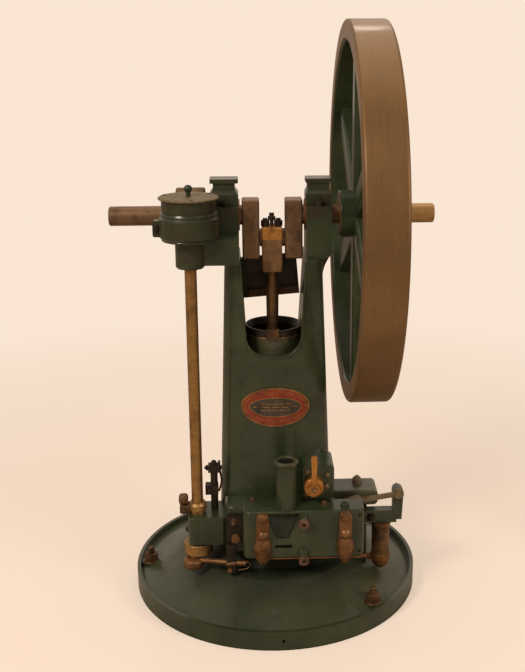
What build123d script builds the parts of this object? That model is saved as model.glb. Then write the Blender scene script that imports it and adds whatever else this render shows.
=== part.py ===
# Small vertical gas engine with its crank overhead: a round dished base, a tapering hollow
# column that forks into two arms, an open-topped cylinder between the arms, one big
# flywheel, a skew-gear case with an upright side shaft, and a slide valve at the foot.
# Millimetres. X runs along the crankshaft towards the flywheel, -Y is the front, +Z is up.
# The origin is on the floor under the middle of the round base. The crank hangs straight
# down at rest, so the connecting rod and the piston stand in the cylinder's axis.
from build123d import *
import math
import os

# Base dish
base_radius = 363.0
base_rim_height = 48.0
base_rim_width = 9.0
base_floor_height = 34.0
base_top_radius = 205.0
base_top_height = 92.0
base_wall = 15.0
base_pad_radius = 24.0
base_pad_height = 9.0
base_bolt_circle_radius = 328.0
base_bolt_hole_radius = 9.0
base_bolt_angles = (180.0, -45.0, 67.5)
base_drain_radius = 4.0

# Column
column_foot_half_width = 172.0
column_foot_half_depth = 146.0
column_foot_height = 130.0
column_half_width_low = 139.5
column_half_width_high = 118.0
column_depth_loss = 26.0
column_face_radius = 260.0
column_corner_radius = 42.0
column_wall = 15.0
jacket_low = 320.0
jacket_high = 584.0
foot_cavity_top = 280.0

# Fork, bearings and crankshaft
axis_height = 965.0
slot_bottom = 632.0
slot_bend_drop = 65.0
slot_left_high = -82.5
slot_left_low = -67.5
slot_right_high = 79.0
slot_right_low = 63.0
slot_corner_radius = 30.0
pedestal_height = 97.0
pedestal_half_depth = 58.0
pedestal_left_outer = -150.0
pedestal_right_outer = 140.0
pedestal_corner_radius = 20.0
haunch_height = 68.0
haunch_rise = 17.0
haunch_thickness = 60.0
shaft_radius = 24.0
shaft_left_end = -393.0
shaft_right_end = 392.0
shaft_end_step = 0.5
shaft_end_clearance = 4.0
shaft_end_chamfer = 3.0
running_gap = 0.05
bush_wall = 8.0
bush_flange_radius = 38.0
bush_outer_flange = 3.0
thrust_gap = 5.0
web_inner = 31.0
web_outer = 73.0
web_shift = -1.5
web_half_depth = 27.0
web_above_axis = 39.0
web_below_axis = 105.0
web_chamfer = 3.0
crank_throw = 56.0
crank_pin_radius = 22.0
crank_pin_end_gap = 0.5

# Bearing caps with their oil boxes
cap_shoulder_height = 28.0
cap_crown_height = 54.0
cap_crown_half_depth = 34.0
cap_neck_width = 52.0
cap_neck_half_depth = 22.0
cap_lid_height = 10.0
cap_top_above_axis = 90.0
cap_lid_half_depth = 27.0
cap_bolt_spacing = 46.0

# Flywheel
wheel_radius = 457.0
wheel_rim_thickness = 49.0
wheel_left_face = 173.0
wheel_width = 95.0
wheel_edge_radius = 7.0
hub_radius = 57.0
hub_length = 121.0
arm_count = 6
arm_depth_hub = 60.0
arm_depth_rim = 48.0
arm_width = 54.0
arm_edge_radius = 9.0
key_width = 12.0
key_height = 10.0
key_length = 108.0

# Cylinder, piston and connecting rod
barrel_radius = 68.0
barrel_rim_radius = 70.0
barrel_top = 691.0
barrel_rim_height = 20.0
barrel_bottom = 300.0
barrel_floor = 26.0
bore_radius = 58.0
bore_mouth_radius = 66.0
bore_mouth_depth = 14.0
piston_clearance = 0.08
gudgeon_above_crown = 90.0
piston_length = 130.0
piston_wall = 12.0
piston_crown_thickness = 26.0
rod_length = 370.0
gudgeon_radius = 12.0
small_end_radius = 23.0
small_end_half_width = 18.0
big_end_half_width = 24.4
big_end_half_depth = 34.0
big_end_cap_height = 28.0
big_end_drop = 79.0
rod_shift = -2.5
rod_collar_radius = 10.5
rod_collar_height = 12.0
rod_neck_radius = 9.5
rod_shank_radius = 15.5
rod_swell_length = 44.0
rod_low_radius = 13.0
big_end_bolt_spacing = 32.0
big_end_bolt_radius = 6.0
big_end_nut_width = 18.0
big_end_nut_height = 14.0
rod_oiler_radius = 9.4
rod_oiler_height = 18.0
rod_oiler_knob_radius = 6.0
oil_drip_width = 31.0
oil_drip_depth = 12.0
oil_drip_rise = 5.0

# Crank splash guard between the arms
guard_left = -79.0
guard_right = 64.0
guard_back = 76.0
guard_depth = 16.0
guard_drop = 115.0
guard_height = 103.0
guard_sheet = 3.0
guard_lip_height = 18.0
guard_edge_width = 16.0
guard_tilt = 4.5
guard_lug_height = 30.0

# Gear case and side shaft
side_x = -196.0
side_y = -112.0
side_shaft_radius = 14.2
side_shaft_drop = 50.0
case_neck_radius = 34.0
case_neck_drop = 103.0
case_bulge_drop = 35.0
case_bulge_radius = 70.0
case_bulge_height = 60.0
case_drum_radius = 63.0
case_drum_height = 35.0
case_ear_width = 14.0
case_ear_depth = 22.0
case_ear_height = 38.0
case_lid_radius = 70.0
case_lid_thickness = 4.5
lid_knob_boss_radius = 5.5
lid_knob_boss_height = 10.0
lid_knob_radius = 9.5
hood_radius = 67.0
hood_left = -231.0
hood_right = -162.0
hood_shaft_gap = 1.0
case_bracket_front = -124.0
case_bracket_back = -30.0

# Side-shaft bottom bearing, crank disc and link
box_left = -219.0
box_right = -122.0
box_front = -150.0
box_back = -52.0
box_bottom = 164.0
box_top = 237.0
box_corner_radius = 14.0
gland_top = 265.0
gland_low_radius = 23.0
gland_high_radius = 19.0
gland_skirt = 8.0
disc_radius = 36.0
disc_bottom = 129.0
disc_top = 158.0
link_pin_x = -208.0
link_pin_y = -137.0
link_eye_radius = 26.0
link_eye_bottom = 98.0
link_eye_top = 124.0
link_pin_radius = 9.0
link_pin_gap = 0.6
link_rod_radius = 6.6
link_end_x = -76.0
link_end_y = -188.0
link_end_z = 131.0
post_x = -154.0
post_y = -95.0
post_radius = 9.0
post_top = 359.0
post_block_bottom = 338.0
post_block_size = 28.0
post_block_height = 18.0
clamp_bottom = 279.0
clamp_height = 24.0

# Slide valve, its chest and cover
chest_left = -128.0
chest_right = 212.0
chest_front = -160.0
chest_bottom = 150.0
chest_low_top = 247.0
chest_top = 271.0
chest_high_right = 150.0
chest_corner_radius = 24.0
chest_top_radius = 9.0
slide_clearance = 0.3
slide_thickness = 26.0
slide_left = -124.0
slide_right = 128.0
slide_bottom = 178.0
slide_top = 251.0
slide_rebate_depth = 15.0
slide_rebate_length = 40.0
slide_lug_x = -114.0
slide_lug_width = 22.0
slide_lug_bottom = 104.0
cover_left = -83.0
cover_right = 210.0
cover_bottom = 161.0
cover_top = 285.0
cover_thickness = 36.0
cover_edge_radius = 9.0
cover_lug_window = 46.0
recess_top_width = 86.0
recess_bottom_width = 30.0
recess_x = 12.0
recess_top = 280.0
recess_bottom = 214.0
recess_depth = 24.0
recess_bottom_depth = 11.0
slot_cut_width = 41.0
slot_cut_height = 8.0
slot_cut_x = 14.0
slot_cut_z = 193.0
slot_cut_depth = 12.0
spring_lever_width = 31.0
spring_lever_thickness = 13.0
spring_lever_bottom = 218.0
spring_lever_top = 284.0
spring_bulb_half_width = 21.5
spring_bulb_half_height = 36.5
spring_bulb_depth = 17.0
spring_bulb_z = 186.0
spring_lever_xs = (-36.0, 163.0)
stub_x = 62.0
stub_zs = (269.0, 172.0)
stub_tilt = 13.0
stub_radius = 12.5
stub_root_radius = 12.0
stub_length = 22.0
stub_ring_length = 8.0
stub_hole_radius = 4.5

# Chimney, gas cock and valve gear on the right
chimney_x = 22.0
chimney_y = -194.0
chimney_radius = 24.5
chimney_bore_radius = 18.5
chimney_lip_radius = 29.0
chimney_lip_height = 18.0
chimney_top = 407.0
inlet_left = 64.0
inlet_right = 140.0
inlet_front = -166.0
inlet_bottom = 290.0
inlet_top = 378.0
inlet_corner_radius = 10.0
cock_x = 89.5
cock_z = 329.0
cock_radius = 24.0
cock_length = 24.0
cock_hole_depth = 18.0
cock_hub_radius = 13.0
cock_hub_length = 9.0
cock_gap = 0.3
cock_stem_radius = 5.0
cock_lever_width = 15.0
cock_lever_root = 10.0
cock_lever_thickness = 6.0
cock_lever_length = 87.0
exhaust_box_front = -92.0
exhaust_box_back = 44.0
exhaust_box_right = 230.0
exhaust_box_knee_x = 172.0
exhaust_box_knee_z = 207.0
exhaust_box_low_z = 180.0
exhaust_box_top_z = 240.0
outlet_right = 256.0
outlet_front = -108.0
outlet_back = -34.0
outlet_bottom = 241.0
outlet_top = 281.0
outlet_corner_radius = 12.0
valve_arm_bottom = 195.0
valve_arm_top = 228.0
valve_arm_front = -114.0
valve_arm_back = -88.0
valve_arm_overhang = 38.0
upright_foot_width = 13.0
valve_x = 265.0
valve_y = -101.0
valve_radius = 22.5
valve_bulb_radius = 25.0
valve_bottom = 107.0
valve_bulb_drop = 44.0
valve_nipple_radius = 5.5
valve_nipple_z = 96.0
valve_nipple_reach = 28.5
pivot_x = 306.0
pivot_z = 276.0
pivot_head_radius = 13.5
pivot_pin_radius = 6.0
lever_left = 198.0
lever_height = 11.0
lever_tilt = 9.0
lever_thickness = 9.0
lever_eye_radius = 13.0
lever_side_gap = 0.5

# Name plate on the column's face
plate_half_width = 84.0
plate_half_height = 49.0
plate_z = 508.0
plate_thickness = 4.0

# Values worked out from the sizes above
pedestal_bottom = axis_height - pedestal_height
slot_bend_height = axis_height - slot_bend_drop
guard_top = axis_height - guard_drop
guard_bottom = guard_top - guard_height
side_shaft_top = axis_height - side_shaft_drop
case_neck_bottom = axis_height - case_neck_drop
case_bulge_bottom = axis_height - case_bulge_drop
case_bulge_top = case_bulge_bottom + case_bulge_height
case_top = case_bulge_top + case_drum_height
throw_height = axis_height - crank_throw
gudgeon_height = throw_height - rod_length
piston_crown_height = gudgeon_height - gudgeon_above_crown
slide_back = chest_front - slide_clearance
slide_front = slide_back - slide_thickness
cover_back = slide_front - slide_clearance
cover_front = cover_back - cover_thickness
wheel_rim_inner_radius = wheel_radius - wheel_rim_thickness
wheel_right_face = wheel_left_face + wheel_width
wheel_middle = wheel_left_face + wheel_width / 2
hub_left = wheel_middle - hub_length / 2
bush_radius = shaft_radius + bush_wall
straight_height = 230.0


def turned(points, x=0.0, y=0.0):
    """A body turned about an upright axis, from (radius, height) points."""
    face = Plane.XZ * make_face(Polyline(*points, close=True))
    return Pos(x, y, 0) * revolve(face, Axis.Z)


def spun(points):
    """A body turned about the crankshaft's line, from (x, radius) points."""
    face = make_face(Polyline(*points, close=True))
    return Pos(0, 0, axis_height) * revolve(face, Axis.X)


def block(x0, x1, y0, y1, z0, z1):
    """A block between two corners."""
    middle = Pos((x0 + x1) / 2, (y0 + y1) / 2, (z0 + z1) / 2)
    return middle * Box(abs(x1 - x0), abs(y1 - y0), abs(z1 - z0))


def rod_x(radius, x0, x1, y, z):
    """A round bar along X."""
    return Pos((x0 + x1) / 2, y, z) * Rot(0, 90, 0) * Cylinder(radius, abs(x1 - x0))


def rod_y(radius, y0, y1, x, z):
    """A round bar along Y."""
    return Pos(x, (y0 + y1) / 2, z) * Rot(90, 0, 0) * Cylinder(radius, abs(y1 - y0))


def rod_z(radius, z0, z1, x, y):
    """A round upright bar."""
    return Pos(x, y, (z0 + z1) / 2) * Cylinder(radius, abs(z1 - z0))


def front_prism(points, y0, y1):
    """A shape drawn in the front view, from (x, z) points, and cut through from y0 to y1."""
    face = Plane.XZ * make_face(Polyline(*points, close=True))
    return Pos(0, max(y0, y1), 0) * extrude(face, abs(y1 - y0))


def column_half_width(z):
    """Half of the column's width at a height, above the flared foot."""
    share = (z - straight_height) / (pedestal_bottom - straight_height)
    return column_half_width_low + share * (column_half_width_high - column_half_width_low)


def column_half_depth(z):
    """Half of the column's depth, front to back, at a height."""
    return column_half_width(z) - column_depth_loss


def column_section(half_width, half_depth, z, inset=0.0):
    """The column's plan: straight sides, bowed front and back, round corners."""
    a = half_width - inset
    b = half_depth - inset
    bow = a * a / (2 * column_face_radius)
    sketch = (
        ThreePointArc((-a, bow - b), (0, -b), (a, bow - b))
        + Line((a, bow - b), (a, b - bow))
        + ThreePointArc((a, b - bow), (0, b), (-a, b - bow))
        + Line((-a, b - bow), (-a, bow - b))
    )
    face = make_face(sketch)
    face = fillet(face.vertices(), column_corner_radius - inset / 2)
    return Pos(0, 0, z) * face


def column_solid(z0, z1, inset=0.0):
    """The tapering column between two heights, thinner all round by the inset."""
    low = column_section(column_half_width(z0), column_half_depth(z0), z0, inset)
    high = column_section(column_half_width(z1), column_half_depth(z1), z1, inset)
    return loft([low, high])


def foot_solid(inset=0.0):
    """The flared foot between the base and the straight part of the column."""
    low = column_section(column_foot_half_width, column_foot_half_depth, base_top_height, inset)
    middle = column_section(
        column_half_width(column_foot_height) + 3, column_half_depth(column_foot_height) + 3,
        column_foot_height, inset,
    )
    high = column_section(
        column_half_width(straight_height), column_half_depth(straight_height),
        straight_height, inset,
    )
    return loft([low, middle], ruled=True) + loft([middle, high], ruled=True)


def column_outline():
    """The column's whole outside below the pedestals, with nothing cut out."""
    return foot_solid() + column_solid(straight_height, pedestal_bottom)


def base_outline():
    """The base's whole outside, with nothing cut out."""
    rim_inner = base_radius - base_rim_width
    top = (
        Line((0, 0), (base_radius, 0))
        + Line((base_radius, 0), (base_radius, base_rim_height))
        + Line((base_radius, base_rim_height), (rim_inner, base_rim_height))
        + Line((rim_inner, base_rim_height), (rim_inner - 4, base_floor_height))
        + ThreePointArc(
            (rim_inner - 4, base_floor_height),
            (0.42 * rim_inner + 0.58 * base_top_radius, 0.62 * base_top_height + 0.20 * base_floor_height),
            (base_top_radius, base_top_height),
        )
        + Line((base_top_radius, base_top_height), (0, base_top_height))
        + Line((0, base_top_height), (0, 0))
    )
    return revolve(Plane.XZ * make_face(top), Axis.Z)


def make_base_plate():
    """Round dish with a raised rim, a low dome for the column and pads for three bolts."""
    body = base_outline()
    rim_inner = base_radius - base_rim_width
    hollow = turned([
        (0, -1),
        (rim_inner - base_wall, -1),
        (rim_inner - base_wall, base_floor_height - base_wall),
        (base_top_radius, base_top_height - 2 * base_wall),
        (0, base_top_height - 2 * base_wall),
    ])
    body -= hollow
    for angle in base_bolt_angles:
        x = base_bolt_circle_radius * math.cos(math.radians(angle))
        y = base_bolt_circle_radius * math.sin(math.radians(angle))
        body += rod_z(base_pad_radius, base_wall, base_floor_height + base_pad_height, x, y)
        body -= rod_z(base_bolt_hole_radius, -1, base_top_height, x, y)
    drain = rod_y(base_drain_radius, -base_radius - 1, base_wall - base_radius, 8, base_rim_height / 2)
    return body - drain


def make_column():
    """Hollow casting: flared foot, water jacket, two arms and the bearing pedestals."""
    body = column_outline()
    slot = front_prism(
        [
            (slot_left_high, axis_height + 200), (slot_left_high, slot_bend_height),
            (slot_left_low, slot_bottom), (slot_right_low, slot_bottom),
            (slot_right_high, slot_bend_height), (slot_right_high, axis_height + 200),
        ],
        -column_foot_half_depth, column_foot_half_depth,
    )
    low_edges = slot.edges().filter_by(Axis.Y).group_by(Axis.Z)[0]
    slot = fillet(low_edges, slot_corner_radius)
    for inner, outer in ((slot_left_high, pedestal_left_outer), (slot_right_high, pedestal_right_outer)):
        pedestal = block(
            inner, outer, -pedestal_half_depth, pedestal_half_depth,
            pedestal_bottom - 2, axis_height,
        )
        corner = pedestal.edges().filter_by(Axis.Y).group_by(Axis.Z)[0]
        corner = corner.sort_by(Axis.X)[0 if outer < 0 else -1]
        body += fillet(corner, pedestal_corner_radius)
    body += make_haunch()
    body += block(
        side_x + case_neck_radius - 6, slot_left_high, case_bracket_front, case_bracket_back,
        pedestal_bottom, case_bulge_bottom,
    )
    body -= slot
    body -= rod_z(case_neck_radius, case_neck_bottom - 1, case_bulge_bottom + 1, side_x, side_y)
    body -= rod_x(hood_radius, hood_left, hood_right, 0, axis_height)
    body -= rod_z(barrel_radius, barrel_bottom, barrel_top + 20, 0, 0)
    body -= rod_z(barrel_rim_radius + 0.3, barrel_top - barrel_rim_height, barrel_top + 20, 0, 0)
    body -= column_solid(jacket_low, jacket_high, column_wall)
    cavity_low = column_section(
        column_half_width(column_foot_height), column_half_depth(column_foot_height),
        base_top_height - 1, column_wall,
    )
    cavity_high = column_section(
        column_half_width(foot_cavity_top), column_half_depth(foot_cavity_top),
        foot_cavity_top, column_wall,
    )
    body -= loft([cavity_low, cavity_high])
    return body - rod_x(bush_radius, pedestal_left_outer - 1, pedestal_right_outer + 1, 0, axis_height)


def make_haunch():
    """The curved haunch that carries the right pedestal out from its arm."""
    arm = column_half_width(pedestal_bottom)
    top = pedestal_bottom + haunch_rise
    foot = pedestal_bottom - haunch_height
    curve = Spline(
        (pedestal_right_outer, top),
        (arm + 0.4 * (pedestal_right_outer - arm), pedestal_bottom - 0.3 * haunch_height),
        (arm + 1, foot), tangents=((0, -1), (0, -1)),
    )
    lines = Polyline((arm + 1, foot), (arm - 5, foot), (arm - 5, top), (pedestal_right_outer, top))
    face = Plane.XZ * make_face(curve + lines)
    return Pos(0, haunch_thickness / 2, 0) * extrude(face, haunch_thickness)


def make_bearing_cap(inner, outer):
    """Cap over the journal with a waisted oil box and a thin lid on top."""
    middle = (inner + outer) / 2
    width = abs(outer - inner)
    shoulder = block(
        inner, outer, -pedestal_half_depth, pedestal_half_depth,
        axis_height, axis_height + cap_shoulder_height,
    )
    crown = block(
        inner, outer, -cap_crown_half_depth, cap_crown_half_depth,
        axis_height + cap_shoulder_height, axis_height + cap_crown_height,
    )
    cap_top = axis_height + cap_top_above_axis
    neck_low = Pos(middle, 0, axis_height + cap_crown_height) * Rectangle(width, 2 * cap_crown_half_depth)
    neck_high = Pos(middle, 0, axis_height + cap_crown_height + 12) * Rectangle(
        cap_neck_width, 2 * cap_neck_half_depth)
    neck = loft([neck_low, neck_high])
    neck += block(
        middle - cap_neck_width / 2, middle + cap_neck_width / 2,
        -cap_neck_half_depth, cap_neck_half_depth,
        axis_height + cap_crown_height + 12, cap_top - cap_lid_height,
    )
    lid = block(
        inner, outer, -cap_lid_half_depth, cap_lid_half_depth, cap_top - cap_lid_height, cap_top,
    )
    body = shoulder + crown + neck + fillet(lid.edges().filter_by(Axis.Z), 5)
    return body - rod_x(bush_radius, inner - 100, outer + 100, 0, axis_height)


def make_bush(inner, outer, inner_flange_end):
    """Bronze bush with a flange at each end of its pedestal."""
    side = math.copysign(1, outer)
    journal = shaft_radius + running_gap
    return spun([
        (inner_flange_end, journal), (inner_flange_end, bush_flange_radius),
        (inner, bush_flange_radius), (inner, bush_radius),
        (outer, bush_radius), (outer, bush_flange_radius),
        (outer + side * bush_outer_flange, bush_flange_radius),
        (outer + side * bush_outer_flange, journal),
    ])


def make_crankshaft():
    """Two stepped shaft ends and two slab webs, which the separate crank pin bridges at rest."""
    step_left = hood_left - shaft_end_clearance
    step_right = hub_left + hub_length + shaft_end_clearance
    end_radius = shaft_radius - shaft_end_step
    body = spun([
        (shaft_left_end, 0), (shaft_left_end, end_radius - shaft_end_chamfer),
        (shaft_left_end + shaft_end_chamfer, end_radius), (step_left, end_radius),
        (step_left, shaft_radius), (web_shift - web_inner, shaft_radius), (web_shift - web_inner, 0),
    ])
    body += spun([
        (web_shift + web_inner, 0), (web_shift + web_inner, shaft_radius), (step_right, shaft_radius),
        (step_right, end_radius), (shaft_right_end - shaft_end_chamfer, end_radius),
        (shaft_right_end, end_radius - shaft_end_chamfer), (shaft_right_end, 0),
    ])
    for side in (-1, 1):
        web = block(
            web_shift + side * web_inner, web_shift + side * web_outer, -web_half_depth,
            web_half_depth, axis_height - web_below_axis, axis_height + web_above_axis,
        )
        body += chamfer(web.edges(), web_chamfer)
    return body - key_shape()


def key_shape():
    """The flywheel key, half in the shaft and half in the hub."""
    start = wheel_middle - key_length / 2
    return block(
        start, start + key_length, -key_width / 2, key_width / 2,
        axis_height + shaft_radius - key_height / 2,
        axis_height + shaft_radius + key_height / 2,
    )


def make_flywheel():
    """Cast wheel: heavy rim turned outside, six straight arms and a long hub."""
    rim = spun([
        (wheel_left_face, wheel_rim_inner_radius), (wheel_left_face, wheel_radius),
        (wheel_right_face, wheel_radius), (wheel_right_face, wheel_rim_inner_radius),
    ])
    rim = fillet(rim.edges().filter_by(GeomType.CIRCLE), wheel_edge_radius)
    hub = rod_x(hub_radius, hub_left, hub_left + hub_length, 0, axis_height)
    hub = fillet(hub.edges().filter_by(GeomType.CIRCLE), 4)
    body = rim + hub
    low = Pos(0, 0, hub_radius - 10) * RectangleRounded(arm_width, arm_depth_hub, arm_edge_radius)
    high = Pos(0, 0, wheel_rim_inner_radius + 10) * RectangleRounded(
        arm_width, arm_depth_rim, arm_edge_radius)
    arm = loft([low, high])
    for index in range(arm_count):
        turn = 360.0 / arm_count * index
        body += Pos(wheel_middle, 0, axis_height) * Rot(turn, 0, 0) * arm
    body -= rod_x(shaft_radius, hub_left - 1, hub_left + hub_length + 1, 0, axis_height)
    return body - key_shape()


def make_cylinder_barrel():
    """Open-topped cylinder with a turned rim and a flared mouth."""
    return turned([
        (0, barrel_bottom), (barrel_radius, barrel_bottom),
        (barrel_radius, barrel_top - barrel_rim_height),
        (barrel_rim_radius, barrel_top - barrel_rim_height),
        (barrel_rim_radius, barrel_top), (bore_mouth_radius, barrel_top),
        (bore_radius, barrel_top - bore_mouth_depth), (bore_radius, barrel_bottom + barrel_floor),
        (0, barrel_bottom + barrel_floor),
    ])


def make_oil_drip():
    """Bronze oil drip block on the front of the cylinder's rim."""
    body = block(
        -4 - oil_drip_width / 2, -4 + oil_drip_width / 2,
        -barrel_rim_radius - oil_drip_depth / 2, -barrel_rim_radius + oil_drip_depth,
        barrel_top - barrel_rim_height, barrel_top + oil_drip_rise,
    )
    body = fillet(body.edges().filter_by(Axis.Z), 2)
    body -= rod_z(barrel_rim_radius, barrel_bottom, barrel_top + 50, 0, 0)
    return body


def make_piston():
    """Trunk piston, open at the top, with bosses bored for the gudgeon pin."""
    outer = bore_radius - piston_clearance
    top = piston_crown_height + piston_length
    body = turned([
        (0, piston_crown_height), (outer, piston_crown_height), (outer, top),
        (outer - piston_wall, top),
        (outer - piston_wall, piston_crown_height + piston_crown_thickness),
        (0, piston_crown_height + piston_crown_thickness),
    ])
    return body - rod_x(gudgeon_radius, -outer - 1, outer + 1, 0, gudgeon_height)


def make_connecting_rod():
    """Round rod swelling at its middle, with a forged block under the crank pin."""
    block_bottom = throw_height - big_end_drop
    collar_bottom = block_bottom - rod_collar_height
    top = block(
        rod_shift - big_end_half_width, rod_shift + big_end_half_width,
        -big_end_half_depth, big_end_half_depth, block_bottom, throw_height,
    )
    top = fillet(top.edges().filter_by(Axis.Z), 4)
    shank = turned([
        (0, gudgeon_height), (rod_low_radius, gudgeon_height),
        (rod_low_radius, gudgeon_height + small_end_radius + 10),
        (rod_shank_radius, collar_bottom - rod_swell_length),
        (rod_neck_radius, collar_bottom), (rod_collar_radius, collar_bottom),
        (rod_collar_radius, block_bottom), (0, block_bottom),
    ], rod_shift)
    eye = rod_x(
        small_end_radius, rod_shift - small_end_half_width, rod_shift + small_end_half_width,
        0, gudgeon_height)
    body = top + shank + eye
    body -= rod_x(gudgeon_radius, -100, 100, 0, gudgeon_height)
    return body - rod_x(crank_pin_radius, -100, 100, 0, throw_height)


def make_big_end_cap():
    """Bronze half that closes the big end over the crank pin."""
    cap = block(
        rod_shift - big_end_half_width, rod_shift + big_end_half_width,
        -big_end_half_depth, big_end_half_depth, throw_height, throw_height + big_end_cap_height,
    )
    cap = fillet(cap.edges().filter_by(Axis.Z), 4)
    cap = fillet(cap.edges().group_by(Axis.Z)[-1], 2)
    return cap - rod_x(crank_pin_radius, -100, 100, 0, throw_height)


def make_big_end_nuts():
    """The two cap nuts with the ends of their bolts."""
    cap_top = throw_height + big_end_cap_height
    nuts = Part()
    for x in (rod_shift - big_end_bolt_spacing / 2, rod_shift + big_end_bolt_spacing / 2):
        nut = Pos(x, 0, cap_top) * extrude(
            RegularPolygon(big_end_nut_width / 2, 6, major_radius=False), big_end_nut_height)
        nuts += nut + rod_z(big_end_bolt_radius, cap_top, cap_top + big_end_nut_height + 5, x, 0)
    return nuts


def make_rod_oiler():
    """Turned oil cup between the big-end nuts, with a small knob on its lid."""
    cap_top = throw_height + big_end_cap_height
    neck = big_end_bolt_spacing / 2 - big_end_nut_width / 2 / math.cos(math.radians(30)) - 1
    return turned([
        (0, cap_top), (neck, cap_top), (neck, cap_top + big_end_nut_height + 0.6),
        (rod_oiler_radius, cap_top + big_end_nut_height + 1.6),
        (rod_oiler_radius, cap_top + rod_oiler_height + 5),
        (rod_oiler_knob_radius, cap_top + rod_oiler_height + 7),
        (rod_oiler_knob_radius, cap_top + rod_oiler_height + 14),
        (0, cap_top + rod_oiler_height + 15),
    ], rod_shift)


def make_splash_guard():
    """Sheet guard behind the crank, lugged to the left arm and hung a little out of level."""
    sheet = block(
        guard_left, guard_right, guard_back - guard_sheet, guard_back, guard_bottom, guard_top,
    )
    lip = block(
        guard_left, guard_right, guard_back - guard_depth, guard_back - guard_sheet,
        guard_bottom, guard_bottom + guard_lip_height,
    )
    side = block(
        guard_left, guard_left + guard_edge_width, guard_back - guard_depth,
        guard_back - guard_sheet,
        guard_bottom + guard_lip_height, guard_top,
    )
    middle_z = (guard_bottom + guard_top) / 2
    body = sheet + lip + side
    body = Pos(0, 0, middle_z) * Rot(0, -guard_tilt, 0) * Pos(0, 0, -middle_z) * body
    lug = block(
        slot_left_high - 20, guard_left + 6, guard_back - guard_depth, guard_back - guard_sheet,
        guard_top - guard_lug_height, guard_top - 6,
    )
    return (body + lug) - make_arm_side(-1)


def make_arm_side(side):
    """The solid that fills one arm, for cutting what seats on its inner face."""
    if side < 0:
        points = [
            (-column_foot_half_width, slot_bottom), (slot_left_low, slot_bottom),
            (slot_left_high, slot_bend_height), (slot_left_high, pedestal_bottom + 80),
            (-column_foot_half_width, pedestal_bottom + 80),
        ]
    else:
        points = [
            (column_foot_half_width, slot_bottom), (slot_right_low, slot_bottom),
            (slot_right_high, slot_bend_height), (slot_right_high, pedestal_bottom + 80),
            (column_foot_half_width, pedestal_bottom + 80),
        ]
    return front_prism(points, -200, 200)


def make_gear_case():
    """Closed case of the skew gears: neck, bulge with a bolted ear, and upper drum."""
    body = turned([
        (0, case_neck_bottom + 5), (side_shaft_radius + running_gap, case_neck_bottom + 5),
        (side_shaft_radius + running_gap, case_neck_bottom),
        (case_neck_radius - 3, case_neck_bottom), (case_neck_radius, case_neck_bottom + 4),
        (case_neck_radius, case_bulge_bottom), (case_bulge_radius - 8, case_bulge_bottom),
        (case_bulge_radius, case_bulge_bottom + 8), (case_bulge_radius, case_bulge_top - 10),
        (case_drum_radius, case_bulge_top), (case_drum_radius, case_top), (0, case_top),
    ], side_x, side_y)
    ear_left = side_x - case_bulge_radius - case_ear_width
    ear_middle = (case_bulge_bottom + case_bulge_top) / 2 - 4
    ear = block(
        ear_left, side_x - case_bulge_radius + 12,
        side_y - case_ear_depth / 2, side_y + case_ear_depth / 2,
        ear_middle - case_ear_height / 2, ear_middle + case_ear_height / 2,
    )
    body += fillet(ear.edges().filter_by(Axis.Y), 5)
    return body - rod_z(
        side_shaft_radius + running_gap, case_neck_bottom - 1, side_shaft_top + 2, side_x, side_y)


def make_case_lid():
    """Round lid on the gear case."""
    return turned([
        (0, case_top), (case_lid_radius, case_top), (case_lid_radius, case_top + 0.6 * case_lid_thickness),
        (case_lid_radius - 3, case_top + case_lid_thickness), (0, case_top + case_lid_thickness),
    ], side_x, side_y)


def make_lid_knob():
    """Ball knob on a small boss in the middle of the lid."""
    low = case_top + case_lid_thickness
    ball_z = low + lid_knob_boss_height + 0.8 * lid_knob_radius
    boss = rod_z(lid_knob_boss_radius, low, ball_z, side_x, side_y)
    return boss + Pos(side_x, side_y, ball_z) * Sphere(lid_knob_radius)


def make_gear_hood():
    """Round hood over the crankshaft's gear, seated on the back of the gear case."""
    body = rod_x(hood_radius, hood_left, hood_right, 0, axis_height)
    body = fillet(body.edges().filter_by(GeomType.CIRCLE), 3)
    body -= rod_x(shaft_radius + hood_shaft_gap, hood_left - 1, hood_right + 1, 0, axis_height)
    body -= rod_z(case_lid_radius, case_neck_bottom, case_top + 100, side_x, side_y)
    return body


def make_side_shaft():
    """Upright shaft from the gear case down to the crank disc."""
    return rod_z(side_shaft_radius, disc_top, side_shaft_top, side_x, side_y)


def make_crank_disc():
    """Disc on the lower end of the side shaft, which drives the slide's link."""
    disc = rod_z(disc_radius, disc_bottom, disc_top, side_x, side_y)
    return fillet(disc.edges().filter_by(GeomType.CIRCLE), 2.5)


def make_side_bracket():
    """Bracket on the column's foot that carries the side shaft's lower bearing."""
    body = block(box_left, box_right, box_front, box_back, box_bottom, box_top)
    body = fillet(body.edges().filter_by(Axis.Z), box_corner_radius)
    body = fillet(body.edges().group_by(Axis.Z)[-1], 3)
    body = body - column_outline() - chest_body()
    return body - rod_z(
        side_shaft_radius + running_gap, box_bottom - 1, box_top + 1, side_x, side_y)


def make_side_gland():
    """Bronze gland round the side shaft on top of its bracket."""
    bore = side_shaft_radius + running_gap
    return turned([
        (bore, box_top), (gland_low_radius - 4, box_top), (gland_low_radius - 4, box_top + gland_skirt),
        (gland_low_radius, box_top + gland_skirt + 2), (gland_low_radius, gland_top - 6),
        (gland_high_radius, gland_top), (bore, gland_top),
    ], side_x, side_y)


def make_drag_link():
    """Link from the crank disc to the slide, made whole with its pin in the eye."""
    eye = rod_z(link_eye_radius, link_eye_bottom, link_eye_top, link_pin_x, link_pin_y)
    eye = fillet(eye.edges().filter_by(GeomType.CIRCLE), 9)
    pin = rod_z(link_pin_radius, link_eye_bottom + 2, disc_bottom - link_pin_gap, link_pin_x, link_pin_y)
    return eye + pin + link_bar()


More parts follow.
